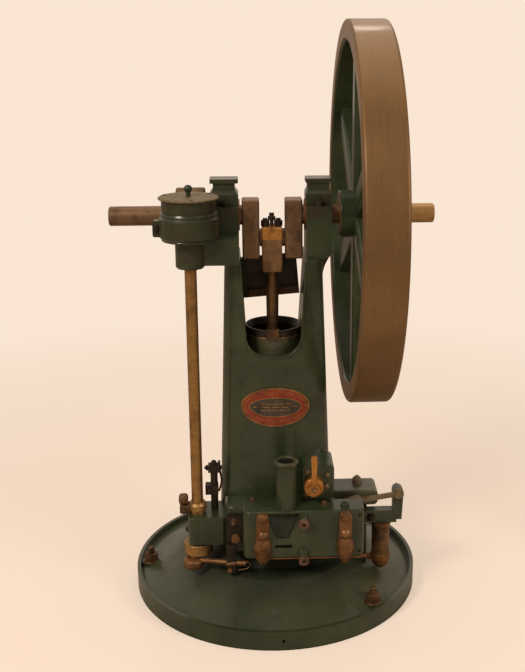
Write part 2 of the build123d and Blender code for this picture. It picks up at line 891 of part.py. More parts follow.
def link_bar():
    """The link's round bar, from its eye through the slide's lug to its free end."""
    start = Vector(link_pin_x, link_pin_y, link_eye_top - link_rod_radius - 0.5)
    end = Vector(link_end_x, link_end_y, link_end_z)
    run = end - start
    return Plane(origin=start, z_dir=run) * Pos(0, 0, run.length / 2) * Cylinder(
        link_rod_radius, run.length)


def slide_lug():
    """Lug under the slide, bored for the link's bar."""
    half = slide_lug_width / 2
    return block(
        slide_lug_x - half, slide_lug_x + half, slide_front + 1, slide_back - 1,
        slide_lug_bottom, slide_bottom + 2,
    ) - link_bar()


def make_slide_valve():
    """Flat slide, stepped back at its exposed end, with the lug that drives it."""
    body = block(slide_left, slide_right, slide_front, slide_back, slide_bottom, slide_top)
    body -= block(
        slide_left - 1, slide_left + slide_rebate_length, slide_front - 1,
        slide_front + slide_rebate_depth, slide_bottom - 1, slide_top + 1,
    )
    return body + slide_lug()


def chest_body():
    """The valve chest's whole outside: higher at its left, with a round corner and top."""
    body = block(
        chest_left, chest_right, chest_front, exhaust_box_front, chest_bottom, chest_low_top,
    )
    body += block(
        chest_left, chest_high_right, chest_front, exhaust_box_front, chest_bottom, chest_top,
    )
    corner = body.edges().filter_by(Axis.Z).group_by(Axis.X)[0].sort_by(Axis.Y)[0]
    body = fillet(corner, chest_corner_radius)
    return fillet(body.faces().sort_by(Axis.Z)[-1].edges(), chest_top_radius)


def make_valve_chest():
    """Port block on the column's front, with the faced side that the slide runs on."""
    return chest_body() - column_outline()


def make_slide_cover():
    """Cover that holds the slide against the chest, with the lighting recess in its face."""
    body = block(cover_left, cover_right, cover_front, chest_front, cover_bottom, cover_top)
    body = fillet(body.edges().filter_by(Axis.Z).group_by(Axis.Y)[0], 2 * cover_edge_radius)
    body = fillet(body.faces().sort_by(Axis.Y)[0].edges(), cover_edge_radius / 2)
    body -= block(
        cover_left - 1, cover_right - 14, cover_back, chest_front + 1,
        slide_bottom - slide_clearance, slide_top + slide_clearance,
    )
    body -= block(
        cover_left - 1, cover_left + cover_lug_window, cover_back, chest_front + 1,
        cover_bottom - 1, slide_bottom,
    )
    scoop_top = Pos(recess_x, cover_front, recess_top) * Ellipse(recess_top_width / 2, recess_depth)
    scoop_bottom = Pos(recess_x, cover_front, recess_bottom) * Ellipse(
        recess_bottom_width / 2, recess_bottom_depth)
    body -= loft([scoop_top, scoop_bottom])
    body -= block(
        slot_cut_x - slot_cut_width / 2, slot_cut_x + slot_cut_width / 2,
        cover_front - 1, cover_front + slot_cut_depth,
        slot_cut_z - slot_cut_height / 2, slot_cut_z + slot_cut_height / 2,
    )
    return body


def make_spring_lever(x):
    """Bronze lever with a pear-shaped end that presses the cover home."""
    bar = block(
        x - spring_lever_width / 2, x + spring_lever_width / 2,
        cover_front - spring_lever_thickness, cover_front, spring_lever_bottom - 6, spring_lever_top,
    )
    bar = fillet(bar.edges().filter_by(Axis.Y).group_by(Axis.Z)[-1], 12)
    bar = fillet(bar.faces().sort_by(Axis.Y)[0].edges(), 3)
    outline = Polyline(
        (0, -spring_bulb_half_height), (0.45, -0.94 * spring_bulb_half_height),
        (0.78, -0.6 * spring_bulb_half_height), (0.96, -0.1 * spring_bulb_half_height),
        (1.0, 0.3 * spring_bulb_half_height), (0.86, 0.66 * spring_bulb_half_height),
        (0.60, spring_bulb_half_height), (0, spring_bulb_half_height), close=True,
    )
    unit = revolve(Plane.XZ * make_face(outline), Axis.Z)
    bulb = scale(unit, by=(spring_bulb_half_width, spring_bulb_depth, 1))
    bulb = Pos(x, cover_front - 3, spring_bulb_z) * bulb
    body = bar + bulb
    return body - block(
        x - spring_lever_width, x + spring_lever_width, cover_front, chest_front,
        spring_bulb_z - 2 * spring_bulb_half_height, spring_lever_top + 10,
    )


def make_gas_stub(z):
    """Short tilted union on the cover with an open end."""
    place = Pos(stub_x, cover_front, z) * Rot(90 + stub_tilt, 0, 0)
    root = place * Pos(0, 0, stub_length / 2 - 6) * Cone(
        stub_root_radius, stub_radius - 3, stub_length + 8)
    ring = place * Pos(0, 0, stub_length - 2 + stub_ring_length / 2) * Cylinder(
        stub_radius, stub_ring_length)
    hole = place * Pos(0, 0, stub_length) * Cylinder(stub_hole_radius, 30)
    body = root + ring - hole
    reach = 3 * stub_radius
    return body - block(
        stub_x - reach, stub_x + reach, cover_front, chest_front, z - reach, z + reach)


def make_chimney():
    """Hollow upright chimney on the cover, with a flared lip."""
    return turned([
        (chimney_bore_radius, cover_top), (chimney_radius, cover_top),
        (chimney_radius, chimney_top - chimney_lip_height),
        (chimney_lip_radius - 2, chimney_top - 0.6 * chimney_lip_height),
        (chimney_lip_radius, chimney_top - 0.4 * chimney_lip_height),
        (chimney_lip_radius, chimney_top - 3), (chimney_lip_radius - 3, chimney_top),
        (chimney_bore_radius + 3, chimney_top), (chimney_bore_radius, chimney_top - 3),
    ], chimney_x, chimney_y)


def make_inlet_box():
    """Flanged box on the column's right front that the gas cock screws into."""
    body = block(inlet_left, inlet_right, inlet_front, -80, inlet_bottom, inlet_top)
    body = fillet(body.edges().filter_by(Axis.Y), inlet_corner_radius)
    return body - column_outline()


def make_cock_body():
    """Bronze barrel of the gas cock."""
    low = inlet_front - cock_length
    barrel = rod_y(cock_radius, low, inlet_front, cock_x, cock_z)
    barrel = fillet(barrel.edges().group_by(Axis.Y)[0], 4)
    return barrel - rod_y(
        cock_stem_radius + running_gap, low - 1, low + cock_hole_depth, cock_x, cock_z)


def make_cock_lever():
    """Turning plug and lever of the gas cock, upright at rest."""
    low = inlet_front - cock_length
    stem = rod_y(cock_stem_radius, low - cock_gap - 1, low + cock_hole_depth - 1, cock_x, cock_z)
    hub = rod_y(cock_hub_radius, low - cock_gap - cock_hub_length, low - cock_gap, cock_x, cock_z)
    face = low - cock_gap - cock_hub_length
    arm = front_prism(
        [
            (cock_x - cock_lever_root / 2, cock_z), (cock_x + cock_lever_root / 2, cock_z),
            (cock_x + cock_lever_width / 2, cock_z + cock_lever_length),
            (cock_x - cock_lever_width / 2, cock_z + cock_lever_length),
        ],
        face, face + cock_lever_thickness,
    )
    arm = fillet(arm.edges().filter_by(Axis.Y).group_by(Axis.Z)[-1], 5)
    return stem + hub + arm


def make_exhaust_box():
    """Sloping valve box on the right of the column's foot."""
    inside = column_half_width_high - column_wall
    body = front_prism(
        [
            (inside, base_floor_height), (exhaust_box_right, base_floor_height),
            (exhaust_box_right, exhaust_box_low_z), (exhaust_box_knee_x, exhaust_box_knee_z),
            (exhaust_box_knee_x - 22, exhaust_box_top_z), (inside, exhaust_box_top_z),
        ],
        exhaust_box_front, exhaust_box_back,
    )
    outlet = block(
        inside, outlet_right, outlet_front, outlet_back, outlet_bottom, outlet_top)
    outlet = fillet(outlet.edges().filter_by(Axis.Y).group_by(Axis.X)[-1], outlet_corner_radius)
    outlet = fillet(outlet.faces().sort_by(Axis.Y)[0].edges(), 4)
    neck = block(
        inside, outlet_right - 2 * outlet_corner_radius, exhaust_box_front + 20, outlet_back,
        exhaust_box_low_z, outlet_bottom + 10,
    )
    body += outlet + neck
    return body - column_outline() - chest_body() - Pos(0, 0, 0.3) * base_outline()


def make_valve_bracket():
    """Arm and upright on the right that carry the gas valve and the lever's pivot."""
    body = block(
        exhaust_box_right, valve_x + valve_arm_overhang, valve_arm_front, valve_arm_back,
        valve_arm_bottom, valve_arm_top,
    )
    body += block(
        chest_right - 14, exhaust_box_right + 1, valve_arm_front, valve_arm_back,
        valve_arm_bottom, valve_arm_top,
    )
    upright = front_prism(
        [
            (valve_x + valve_arm_overhang - 1, valve_arm_bottom + 8),
            (valve_x + valve_arm_overhang + upright_foot_width, valve_arm_bottom + 8),
            (pivot_x + pivot_head_radius, pivot_z), (pivot_x - pivot_head_radius, pivot_z),
            (valve_x + valve_arm_overhang - 9, valve_arm_top),
        ],
        valve_arm_front, valve_arm_back,
    )
    body += upright + rod_y(pivot_head_radius, valve_arm_front, valve_arm_back, pivot_x, pivot_z)
    body -= chest_body()
    body -= make_exhaust_box()
    return body - rod_y(pivot_pin_radius, valve_arm_front - 1, valve_arm_back + 1, pivot_x, pivot_z)


def make_gas_valve():
    """Bronze valve body hung under the arm, with a round bottom and a side nipple."""
    half_turn = [math.radians(15 * step) for step in range(7)]
    bowl = [
        (valve_bulb_radius * math.sin(angle),
         valve_bottom - 6 - (valve_bulb_drop - 6) * math.cos(angle))
        for angle in half_turn
    ]
    body = turned(bowl + [
        (valve_bulb_radius, valve_bottom), (valve_radius, valve_bottom + 2),
        (valve_radius, valve_arm_bottom), (0, valve_arm_bottom),
    ], valve_x, valve_y)
    nipple = rod_x(
        valve_nipple_radius, valve_x - valve_radius - valve_nipple_reach, valve_x, valve_y,
        valve_nipple_z,
    )
    return body + nipple


def make_pivot_pin():
    """Pin through the bracket's head on which the lever rocks."""
    front = valve_arm_front - lever_side_gap - lever_thickness - 5
    pin = rod_y(pivot_pin_radius, front, valve_arm_back, pivot_x, pivot_z)
    return pin + rod_y(pivot_pin_radius + 4, front, front + 4, pivot_x, pivot_z)


def make_valve_lever():
    """Flat lever from the pivot towards the column."""
    back = valve_arm_front - lever_side_gap
    front = back - lever_thickness
    bar = block(
        lever_left, pivot_x, front, back, pivot_z - lever_height / 2, pivot_z + lever_height / 2,
    )
    body = Pos(pivot_x, 0, pivot_z) * Rot(0, -lever_tilt, 0) * Pos(-pivot_x, 0, -pivot_z) * bar
    body += rod_y(lever_eye_radius, front, back, pivot_x, pivot_z)
    return body - rod_y(pivot_pin_radius + running_gap, front - 1, back + 1, pivot_x, pivot_z)


def make_lever_post():
    """Upright post on the side-shaft bracket with its square block and clamp."""
    body = rod_z(post_radius, box_top, post_top, post_x, post_y)
    half = post_block_size / 2
    body += block(
        post_x - half, post_x + half, post_y - 12, post_y + 12,
        post_block_bottom, post_block_bottom + post_block_height,
    )
    body += block(
        post_x - 22, post_x + 10, post_y - 12, post_y + 12,
        clamp_bottom, clamp_bottom + clamp_height,
    )
    return body - column_outline()


def make_nameplate():
    """Oval plate that follows the bow of the column's face."""
    oval = Plane.XZ * Pos(0, plate_z) * Ellipse(plate_half_width, plate_half_height)
    prism = Pos(0, 0, 0) * extrude(oval, 200)
    shell_outer = column_plate_skin(plate_thickness)
    return (prism & shell_outer) - column_outline()


def column_plate_skin(thickness):
    """The column grown by a thickness round the plate's heights."""
    low_z = plate_z - plate_half_height - 10
    high_z = plate_z + plate_half_height + 10
    low = column_section(column_half_width(low_z), column_half_depth(low_z), low_z, -thickness)
    high = column_section(column_half_width(high_z), column_half_depth(high_z), high_z, -thickness)
    return loft([low, high])


def build_parts():
    """Every sub-part by its node name."""
    left_flange_end = web_shift - web_outer - thrust_gap
    right_flange_end = web_shift + web_outer + thrust_gap
    parts = {
        "base_plate": make_base_plate(),
        "column": make_column(),
        "cylinder_barrel": make_cylinder_barrel(),
        "oil_drip_block": make_oil_drip(),
        "bearing_cap_left": make_bearing_cap(slot_left_high, pedestal_left_outer),
        "bearing_cap_right": make_bearing_cap(slot_right_high, pedestal_right_outer),
        "bearing_bush_left": make_bush(slot_left_high, pedestal_left_outer, left_flange_end),
        "bearing_bush_right": make_bush(slot_right_high, pedestal_right_outer, right_flange_end),
        "splash_guard": make_splash_guard(),
        "gear_case": make_gear_case(),
        "gear_case_lid": make_case_lid(),
        "lid_knob": make_lid_knob(),
        "gear_hood": make_gear_hood(),
        "side_shaft_bracket": make_side_bracket(),
        "side_shaft_gland": make_side_gland(),
        "lever_post": make_lever_post(),
        "valve_chest": make_valve_chest(),
        "slide_cover": make_slide_cover(),
        "spring_lever_left": make_spring_lever(spring_lever_xs[0]),
        "spring_lever_right": make_spring_lever(spring_lever_xs[1]),
        "gas_stub_upper": make_gas_stub(stub_zs[0]),
        "gas_stub_lower": make_gas_stub(stub_zs[1]),
        "chimney": make_chimney(),
        "inlet_box": make_inlet_box(),
        "gas_cock_body": make_cock_body(),
        "exhaust_box": make_exhaust_box(),
        "valve_bracket": make_valve_bracket(),
        "gas_valve": make_gas_valve(),
        "lever_pivot_pin": make_pivot_pin(),
        "nameplate": make_nameplate(),
        "crankshaft": make_crankshaft(),
        "flywheel": make_flywheel(),
        "flywheel_key": key_shape(),
        "connecting_rod": make_connecting_rod(),
        "big_end_cap": make_big_end_cap(),
        "big_end_nuts": make_big_end_nuts(),
        "rod_oiler": make_rod_oiler(),
        "crank_pin": rod_x(
            crank_pin_radius, web_shift - web_inner + crank_pin_end_gap,
            web_shift + web_inner - crank_pin_end_gap, 0, throw_height),
        "piston": make_piston(),
        "gudgeon_pin": rod_x(
            gudgeon_radius, 2 - bore_radius, bore_radius - 2, 0, gudgeon_height),
        "side_shaft": make_side_shaft(),
        "crank_disc": make_crank_disc(),
        "slide_valve": make_slide_valve(),
        "drag_link": make_drag_link(),
        "gas_cock_lever": make_cock_lever(),
        "valve_lever": make_valve_lever(),
    }
    return parts


def main():
    """Write one STEP file for each sub-part."""
    os.makedirs("parts", exist_ok=True)
    for name, shape in build_parts().items():
        export_step(shape, f"parts/{name}.step")


if __name__ == "__main__":
    main()
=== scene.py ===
"""Looks of the upright gas engine: its finishes, its small fittings, the light and the camera."""

from __future__ import annotations

import logging
import math
from dataclasses import dataclass
from enum import Enum
from functools import cached_property
from typing import Any, Iterable, Sequence

import bmesh
import bpy
from mathutils import Matrix, Vector


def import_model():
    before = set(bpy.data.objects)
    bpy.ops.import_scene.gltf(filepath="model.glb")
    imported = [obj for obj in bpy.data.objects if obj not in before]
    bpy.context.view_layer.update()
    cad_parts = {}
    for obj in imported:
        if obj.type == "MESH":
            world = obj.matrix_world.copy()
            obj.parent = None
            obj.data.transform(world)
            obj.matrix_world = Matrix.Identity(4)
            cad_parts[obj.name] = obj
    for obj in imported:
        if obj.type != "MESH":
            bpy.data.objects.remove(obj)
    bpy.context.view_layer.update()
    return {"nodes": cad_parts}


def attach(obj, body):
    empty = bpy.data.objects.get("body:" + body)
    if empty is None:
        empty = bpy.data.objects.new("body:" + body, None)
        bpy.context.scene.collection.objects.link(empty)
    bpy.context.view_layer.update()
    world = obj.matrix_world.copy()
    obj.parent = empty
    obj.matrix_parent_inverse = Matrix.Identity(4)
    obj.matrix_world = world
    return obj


LOG = logging.getLogger("gas_engine")
TAU = math.tau
AXIS_HEIGHT = 0.965
SMOOTH_ANGLE = math.radians(32.0)
Colour = tuple[float, float, float, float]
Point = tuple[float, float, float]
Profile = tuple[tuple[float, float], ...]


class Body(Enum):
    """The moving bodies that a piece can ride on."""

    FRAME = "frame"
    SLIDE = "slide"
    COCK = "gas_cock"
    LEVER = "valve_lever"


class Slot(Enum):
    """The record's material slots that the fittings take."""

    GREEN = "green_paint"
    IRON = "bare_iron"
    BRIGHT = "bright_steel"
    DARK = "dark_steel"
    BRONZE = "bronze"


class Way(Enum):
    """The way a fitting points."""

    UP = (0.0, 0.0, 1.0)
    FRONT = (0.0, -1.0, 0.0)
    BACK = (0.0, 1.0, 0.0)
    LEFT = (-1.0, 0.0, 0.0)
    RIGHT = (1.0, 0.0, 0.0)

    def at(self, x: float, y: float, z: float, turn: float = 0.0) -> Matrix:
        """A place at a point in metres, with its own Z this way, turned about it in radians."""
        turned = Vector((0, 0, 1)).rotation_difference(Vector(self.value)).to_matrix().to_4x4()
        return Matrix.Translation((x, y, z)) @ turned @ Matrix.Rotation(turn, 4, "Z")


def polar(radius: float, degrees: float) -> tuple[float, float]:
    """The X and Y of a point on a circle round the Z axis."""
    return radius * math.cos(math.radians(degrees)), radius * math.sin(math.radians(degrees))


def linked(verts: Iterable[bmesh.types.BMVert], kind: str = "link_edges") -> list[Any]:
    """The edges, or the faces, that meet at any of some vertices."""
    return list({item for vert in verts for item in getattr(vert, kind)})


def only(items: Iterable[Any], kind: type) -> list[Any]:
    """The items that are of one kind."""
    return [item for item in items if isinstance(item, kind)]


def placed(name: str, data: bpy.types.ID) -> bpy.types.Object:
    """A new object in the scene that shows some data."""
    made = bpy.data.objects.new(name, data)
    bpy.context.collection.objects.link(made)
    return made


class Signal:
    """A shader socket that takes part in Python expressions."""

    def __init__(self, shader: "Shader", socket: bpy.types.NodeSocket) -> None:
        """Keeps the socket and the shader that owns it."""
        self.shader = shader
        self.socket = socket

    def _math(self, operation: str, first: Any, second: Any) -> "Signal":
        """One Math node on two values."""
        return self.shader.add("ShaderNodeMath", {"operation": operation}, {0: first, 1: second})

    def __add__(self, other: Any) -> "Signal":
        """The sum."""
        return self._math("ADD", self, other)

    def __radd__(self, other: Any) -> "Signal":
        """The sum, with this signal second."""
        return self._math("ADD", other, self)

    def __sub__(self, other: Any) -> "Signal":
        """The difference."""
        return self._math("SUBTRACT", self, other)

    def __rsub__(self, other: Any) -> "Signal":
        """The difference, with this signal second."""
        return self._math("SUBTRACT", other, self)

    def __mul__(self, other: Any) -> "Signal":
        """The product."""
        return self._math("MULTIPLY", self, other)

    def __rmul__(self, other: Any) -> "Signal":
        """The product, with this signal second."""
        return self._math("MULTIPLY", other, self)

    def __truediv__(self, other: Any) -> "Signal":
        """The quotient."""
        return self._math("DIVIDE", self, other)

    def __pow__(self, other: Any) -> "Signal":
        """The power."""
        return self._math("POWER", self, other)

    def either(self, other: Any) -> "Signal":
        """The larger of two signals."""
        return self._math("MAXIMUM", self, other)

    def hypot(self, other: "Signal") -> "Signal":
        """The long side of a right triangle whose short sides are the two signals."""
        return (self * self + other * other) ** 0.5

    def above(self, low: float, soft: float = 0.0005) -> "Signal":
        """Rises from 0 to 1 round a threshold, over twice the soft width."""
        ends = {1: low - soft, 2: low + soft, 3: 0.0, 4: 1.0}
        return self.shader.add("ShaderNodeMapRange", {"clamp": True}, {0: self, **ends})

    def below(self, high: float, soft: float = 0.0005) -> "Signal":
        """Falls from 1 to 0 round a threshold."""
        return 1.0 - self.above(high, soft)


class Shader:
    """A material in the making, with one method for every node."""

    def __init__(self, name: str, world: bool = False) -> None:
        """Starts an empty material, or an empty world, with an output."""
        store = bpy.data.worlds if world else bpy.data.materials
        self.material = store.new(name)
        self.material.use_nodes = True
        self.tree = self.material.node_tree
        self.tree.nodes.clear()
        self.output = self.tree.nodes.new(f"ShaderNodeOutput{'World' if world else 'Material'}")

    def add(
        self,
        kind: str,
        settings: dict[str, Any] | None = None,
        sockets: dict[Any, Any] | None = None,
        out: Any = 0,
    ) -> Signal:
        """Adds a node, sets it and links it.

        Args:
            kind: the node's type.
            settings: its own settings.
            sockets: a value or a signal for each input.
            out: the output that is wanted.

        Returns:
            That output as a signal.
        """
        node = self.tree.nodes.new(kind)
        for key, value in (settings or {}).items():
            setattr(node, key, value)
        for key, value in (sockets or {}).items():
            if isinstance(value, Signal):
                self.tree.links.new(value.socket, node.inputs[key])
            else:
                node.inputs[key].default_value = value
        return Signal(self, node.outputs[out])

    def end(self, surface: Signal) -> None:
        """Links the shader to the output."""
        self.tree.links.new(surface.socket, self.output.inputs["Surface"])

    @cached_property
    def place(self) -> Signal:
        """The point on the object, in metres."""
        return self.add("ShaderNodeTexCoord", out="Object")

    @cached_property
    def xyz(self) -> list[Signal]:
        """The point's x, y and z."""
        return self.split(self.place)

    def split(self, vector: Signal) -> list[Signal]:
        """The x, y and z of a vector."""
        node = self.add("ShaderNodeSeparateXYZ", None, {0: vector}).socket.node
        return [Signal(self, output) for output in node.outputs]

    def join(self, x: Any, y: Any, z: Any) -> Signal:
        """A vector from three parts."""
        return self.add("ShaderNodeCombineXYZ", None, {0: x, 1: y, 2: z})

    def noise(
        self, scale: float, detail: float = 3.0, rough: float = 0.55, vector: Signal | None = None
    ) -> Signal:
        """Smooth noise from 0 to 1, read at the point itself unless a vector is given."""
        where = {"Vector": vector or self.place, "Scale": scale}
        return self.add("ShaderNodeTexNoise", None, {**where, "Detail": detail, "Roughness": rough})

    def mix(self, mask: Any, low: Any, high: Any) -> Signal:
        """Blends two colours, the first where the mask is 0 and the second where it is 1."""
        return self.add("ShaderNodeMix", {"data_type": "RGBA"}, {0: mask, 6: low, 7: high}, out=2)

    def close(
        self, colour: Any, roughness: Any, metallic: Any, height: Signal,
        bump: float = 0.2, depth: float = 0.0005, coat: Any = 0.0, coat_rough: float = 0.1,
        specular: float = 0.5,
    ) -> bpy.types.Material:
        """Ends the material in one Principled shader.

        Args:
            colour: the base colour.
            roughness: the roughness.
            metallic: the metallic share.
            height: what the bump is read from.
            bump: the strength of the bump.
            depth: the height of the bump in metres.
            coat: the weight of the clear coat.
            coat_rough: the coat's roughness.
            specular: the specular level.

        Returns:
            The material.
        """
        relief = {"Strength": bump, "Distance": depth, "Height": height}
        self.end(self.add("ShaderNodeBsdfPrincipled", None, {
            "Base Color": colour, "Roughness": roughness, "Metallic": metallic,
            "Coat Weight": coat, "Coat Roughness": coat_rough, "Specular IOR Level": specular,
            "Normal": self.add("ShaderNodeBump", None, relief),
        }))
        return self.material


@dataclass(frozen=True)
class Tones:
    """The light, the middle and the dark tone of a finish."""

    light: Colour
    main: Colour
    dark: Colour


GREEN = Tones((0.044, 0.058, 0.024, 1), (0.0245, 0.0350, 0.0138, 1), (0.0130, 0.0150, 0.0075, 1))
# A lighter copy of the green enamel, as painted light on lit surfaces.
LIT_GREEN = Tones((0.085, 0.080, 0.042, 1), (0.048, 0.050, 0.024, 1), (0.018, 0.019, 0.009, 1))
IRON = Tones((0.200, 0.106, 0.048, 1), (0.130, 0.067, 0.030, 1), (0.045, 0.024, 0.012, 1))
RIM = Tones((0.262, 0.144, 0.056, 1), (0.182, 0.099, 0.038, 1), (0.060, 0.033, 0.014, 1))
PINK = Tones((0.360, 0.215, 0.135, 1), (0.250, 0.142, 0.088, 1), (0.085, 0.043, 0.027, 1))
STEEL = Tones((0.275, 0.158, 0.080, 1), (0.170, 0.094, 0.046, 1), (0.052, 0.028, 0.014, 1))
FORGED = Tones((0.305, 0.168, 0.074, 1), (0.200, 0.110, 0.046, 1), (0.068, 0.038, 0.017, 1))
BRONZE = Tones((0.310, 0.148, 0.055, 1), (0.190, 0.088, 0.033, 1), (0.060, 0.028, 0.012, 1))
GOLD = Tones((0.640, 0.290, 0.068, 1), (0.420, 0.175, 0.040, 1), (0.120, 0.050, 0.016, 1))
BRASS = Tones((0.500, 0.285, 0.098, 1), (0.340, 0.188, 0.062, 1), (0.100, 0.054, 0.021, 1))
PALE = Tones((0.230, 0.172, 0.092, 1), (0.150, 0.110, 0.056, 1), (0.060, 0.042, 0.022, 1))
DARK = Tones((0.060, 0.042, 0.027, 1), (0.028, 0.021, 0.014, 1), (0.012, 0.009, 0.007, 1))
RED = Tones((0.350, 0.046, 0.015, 1), (0.225, 0.029, 0.011, 1), (0.070, 0.013, 0.007, 1))
# Near-black tones: the guard's painted shade and the plate's dark middle.
BLACK = Tones((0.095, 0.072, 0.048, 1), (0.060, 0.046, 0.032, 1), (0.024, 0.019, 0.014, 1))
OIL: Colour = (0.040, 0.024, 0.013, 1)


@dataclass(frozen=True)
class StainAndShade:
    """Wear, dust or painted shade on a finish: its mask and tone, how much it covers, and how it
    dulls paint and coat.
    """

    mask: Signal
    tone: Colour
    share: float = 1.0
    dull: float = 0.0
    matt: float = 0.0


@dataclass(frozen=True)
class Enamel:
    """Old gloss paint on a casting: uneven, oily, with small chips."""

    name: str = "green_enamel"
    tones: Tones = GREEN
    grime_tone: Colour = GREEN.dark
    grime_start: float = 0.60
    chip_start: float = 0.70
    coat: float = 0.25
    coat_rough: float = 0.08
    specular: float = 0.42

    def layers(self, shader: Shader) -> tuple[Signal, Signal, Signal]:
        """The paint as it is all over the engine.

        Args:
            shader: the material in the making.

        Returns:
            Colour, roughness and height.
        """
        broad = shader.noise(7.0, 4.0)
        fine = shader.noise(90.0, 4.0, 0.6)
        grime = shader.noise(22.0, 5.0, 0.65)
        colour = shader.mix(broad.above(0.5, 0.16), self.tones.main, self.tones.light)
        colour = shader.mix(grime.above(self.grime_start, 0.10) * 0.65, colour, self.grime_tone)
        chips = shader.noise(140.0, 2.0, 0.5).above(self.chip_start, 0.015)
        chips = chips * broad.above(0.52, 0.05)
        colour = shader.mix(chips, colour, IRON.main)
        rough = 0.17 + grime * 0.30 + chips * 0.3
        height = fine * 0.45 + shader.noise(420.0, 2.0) * 0.25 - chips * 0.6
        return colour, rough, height

    def stains(self, shader: Shader) -> Iterable[StainAndShade]:
        """The stains and painted shade that only one casting has: plain enamel has none."""
        return ()

    def make(self) -> bpy.types.Material:
        """The finished material."""
        shader = Shader(self.name)
        colour, rough, height = self.layers(shader)
        coat: Any = self.coat
        for stain in self.stains(shader):
            colour = shader.mix(stain.mask * stain.share, colour, stain.tone)
            if stain.dull:
                rough = rough + stain.mask * stain.dull
            if stain.matt:
                coat = coat - stain.mask * (stain.matt * self.coat)
        return shader.close(
            colour, rough, 0.0, height, 0.22, 0.0006, coat, self.coat_rough, self.specular)


@dataclass(frozen=True)
class DustAndShadeEnamel(Enamel):
    """The enamel of base and column: painted shade under the chest, dust on the dish."""

    name: str = "green_enamel_dust_and_shade"
    coat: float = 0.3
    coat_rough: float = 0.07
    # reach, low and high bound the painted shade under the chest.
    reach: float = 0.235
    low: float = 0.062
    high: float = 0.150
    rim: float = 0.340
    dish_top: float = 0.10
    dust: Colour = (0.074, 0.070, 0.034, 1)

    def stains(self, shader: Shader) -> Iterable[StainAndShade]:
        """The dust in patches, and the painted shade under the chest.

        Args:
            shader: the material in the making.

        Returns:
            The dust and the painted shade, the lowest first.
        """
        x, y, z = shader.xyz
        away = x.hypot(y)
        # Painted shade: a band low on the column foot, under the chest, darkened and dulled.
        shade_under_chest = away.below(self.reach, 0.05) * z.above(self.low, 0.02) * z.below(self.high, 0.03)
        patches = shader.noise(4.0, 4.0, 0.6).above(0.52, 0.14)
        dish = away.below(self.rim, 0.008) * z.below(self.dish_top, 0.03)
        dust = dish * (0.10 + 0.38 * patches)
        return StainAndShade(dust, self.dust, 1.0, 0.35), StainAndShade(shade_under_chest, GREEN.dark, 0.75, 0.45, 1.0)


@dataclass(frozen=True)
class ChimneyEnamel(Enamel):
    """The chimney's enamel, with painted shade in the bore and wear along the lip."""

    name: str = "green_enamel_and_lip"
    middle: tuple[float, float] = (0.022, -0.194)
    bore: float = 0.0192
    lip: float = 0.393
    mouth: float = 0.4035
    worn: Colour = (0.105, 0.088, 0.050, 1)
    # The near-black colour of the painted shade in the bore.
    hollow_shade: Colour = (0.008, 0.009, 0.006, 1)

    def stains(self, shader: Shader) -> Iterable[StainAndShade]:
        """The wear, and the painted shade in the bore.

        Args:
            shader: the material in the making.

        Returns:
            The wear and the painted shade, the lowest first.
        """
        x, y, z = shader.xyz
        reach = (x - self.middle[0]).hypot(y - self.middle[1])
        wear = z.above(self.lip, 0.004) * shader.noise(60.0, 3.0).above(0.42, 0.12)
        # Painted shade: the inside of the bore is darkened near black.
        inside = reach.below(self.bore, 0.0006) * z.below(self.mouth, 0.003)
        return StainAndShade(wear, self.worn, 0.6), StainAndShade(inside, self.hollow_shade, 0.9, 0.3)


@dataclass(frozen=True)
class CoverEnamel(Enamel):
    """The slide cover's enamel, with painted shade inside the recess and the cut below it."""

    name: str = "green_enamel_and_recess_shade"
    recess: float = -0.2191
    left: float = -0.036
    right: float = 0.062
    low: float = 0.170
    high: float = 0.2835
    # The near-black colour of the painted shade in the recess.
    hollow_shade: Colour = (0.008, 0.011, 0.007, 1)

    def stains(self, shader: Shader) -> Iterable[StainAndShade]:
        """The painted shade.

        Args:
            shader: the material in the making.

        Returns:
            The one painted shade.
        """
        x, y, z = shader.xyz
        across = x.above(self.left, 0.001) * x.below(self.right, 0.001)
        upwards = z.above(self.low, 0.001) * z.below(self.high, 0.0008)
        # Painted shade inside the recess and the cut below it.
        return (StainAndShade(across * upwards * y.above(self.recess, 0.003), self.hollow_shade, 0.75, 0.3),)


@dataclass(frozen=True)
class Metal:
    """Bare metal with oil stains, and tool marks that run one way."""

    name: str
    tones: Tones
    stretch: Point = (1.0, 1.0, 1.0)
    roughness: float = 0.34
    metallic: float = 0.65
    stain: float = 0.55

    def layers(self, shader: Shader) -> tuple[Signal, Signal, Signal]:
        """The metal as it is all over a piece.

        Args:
            shader: the material in the making.

        Returns:
            Colour, roughness and height.
        """
        lengthways = shader.join(*(part * times for part, times in zip(shader.xyz, self.stretch)))
        marks = shader.noise(60.0, 4.0, 0.6, lengthways)
        stains = shader.noise(26.0, 5.0, 0.62)
        specks = shader.noise(210.0, 3.0, 0.6)
        colour = shader.mix(marks.above(0.5, 0.22), self.tones.main, self.tones.light)
        colour = shader.mix(stains.above(self.stain, 0.10) * 0.7, colour, self.tones.dark)
        colour = shader.mix(specks.above(0.63, 0.05) * 0.5, colour, self.tones.dark)
        rough = self.roughness + stains * 0.22 + marks * 0.06
        return colour, rough, marks * 0.5 + specks * 0.4

    def make(self) -> bpy.types.Material:
        """The finished material."""
        shader = Shader(self.name)
        colour, rough, height = self.layers(shader)
        return shader.close(colour, rough, self.metallic, height, 0.18, 0.0004)


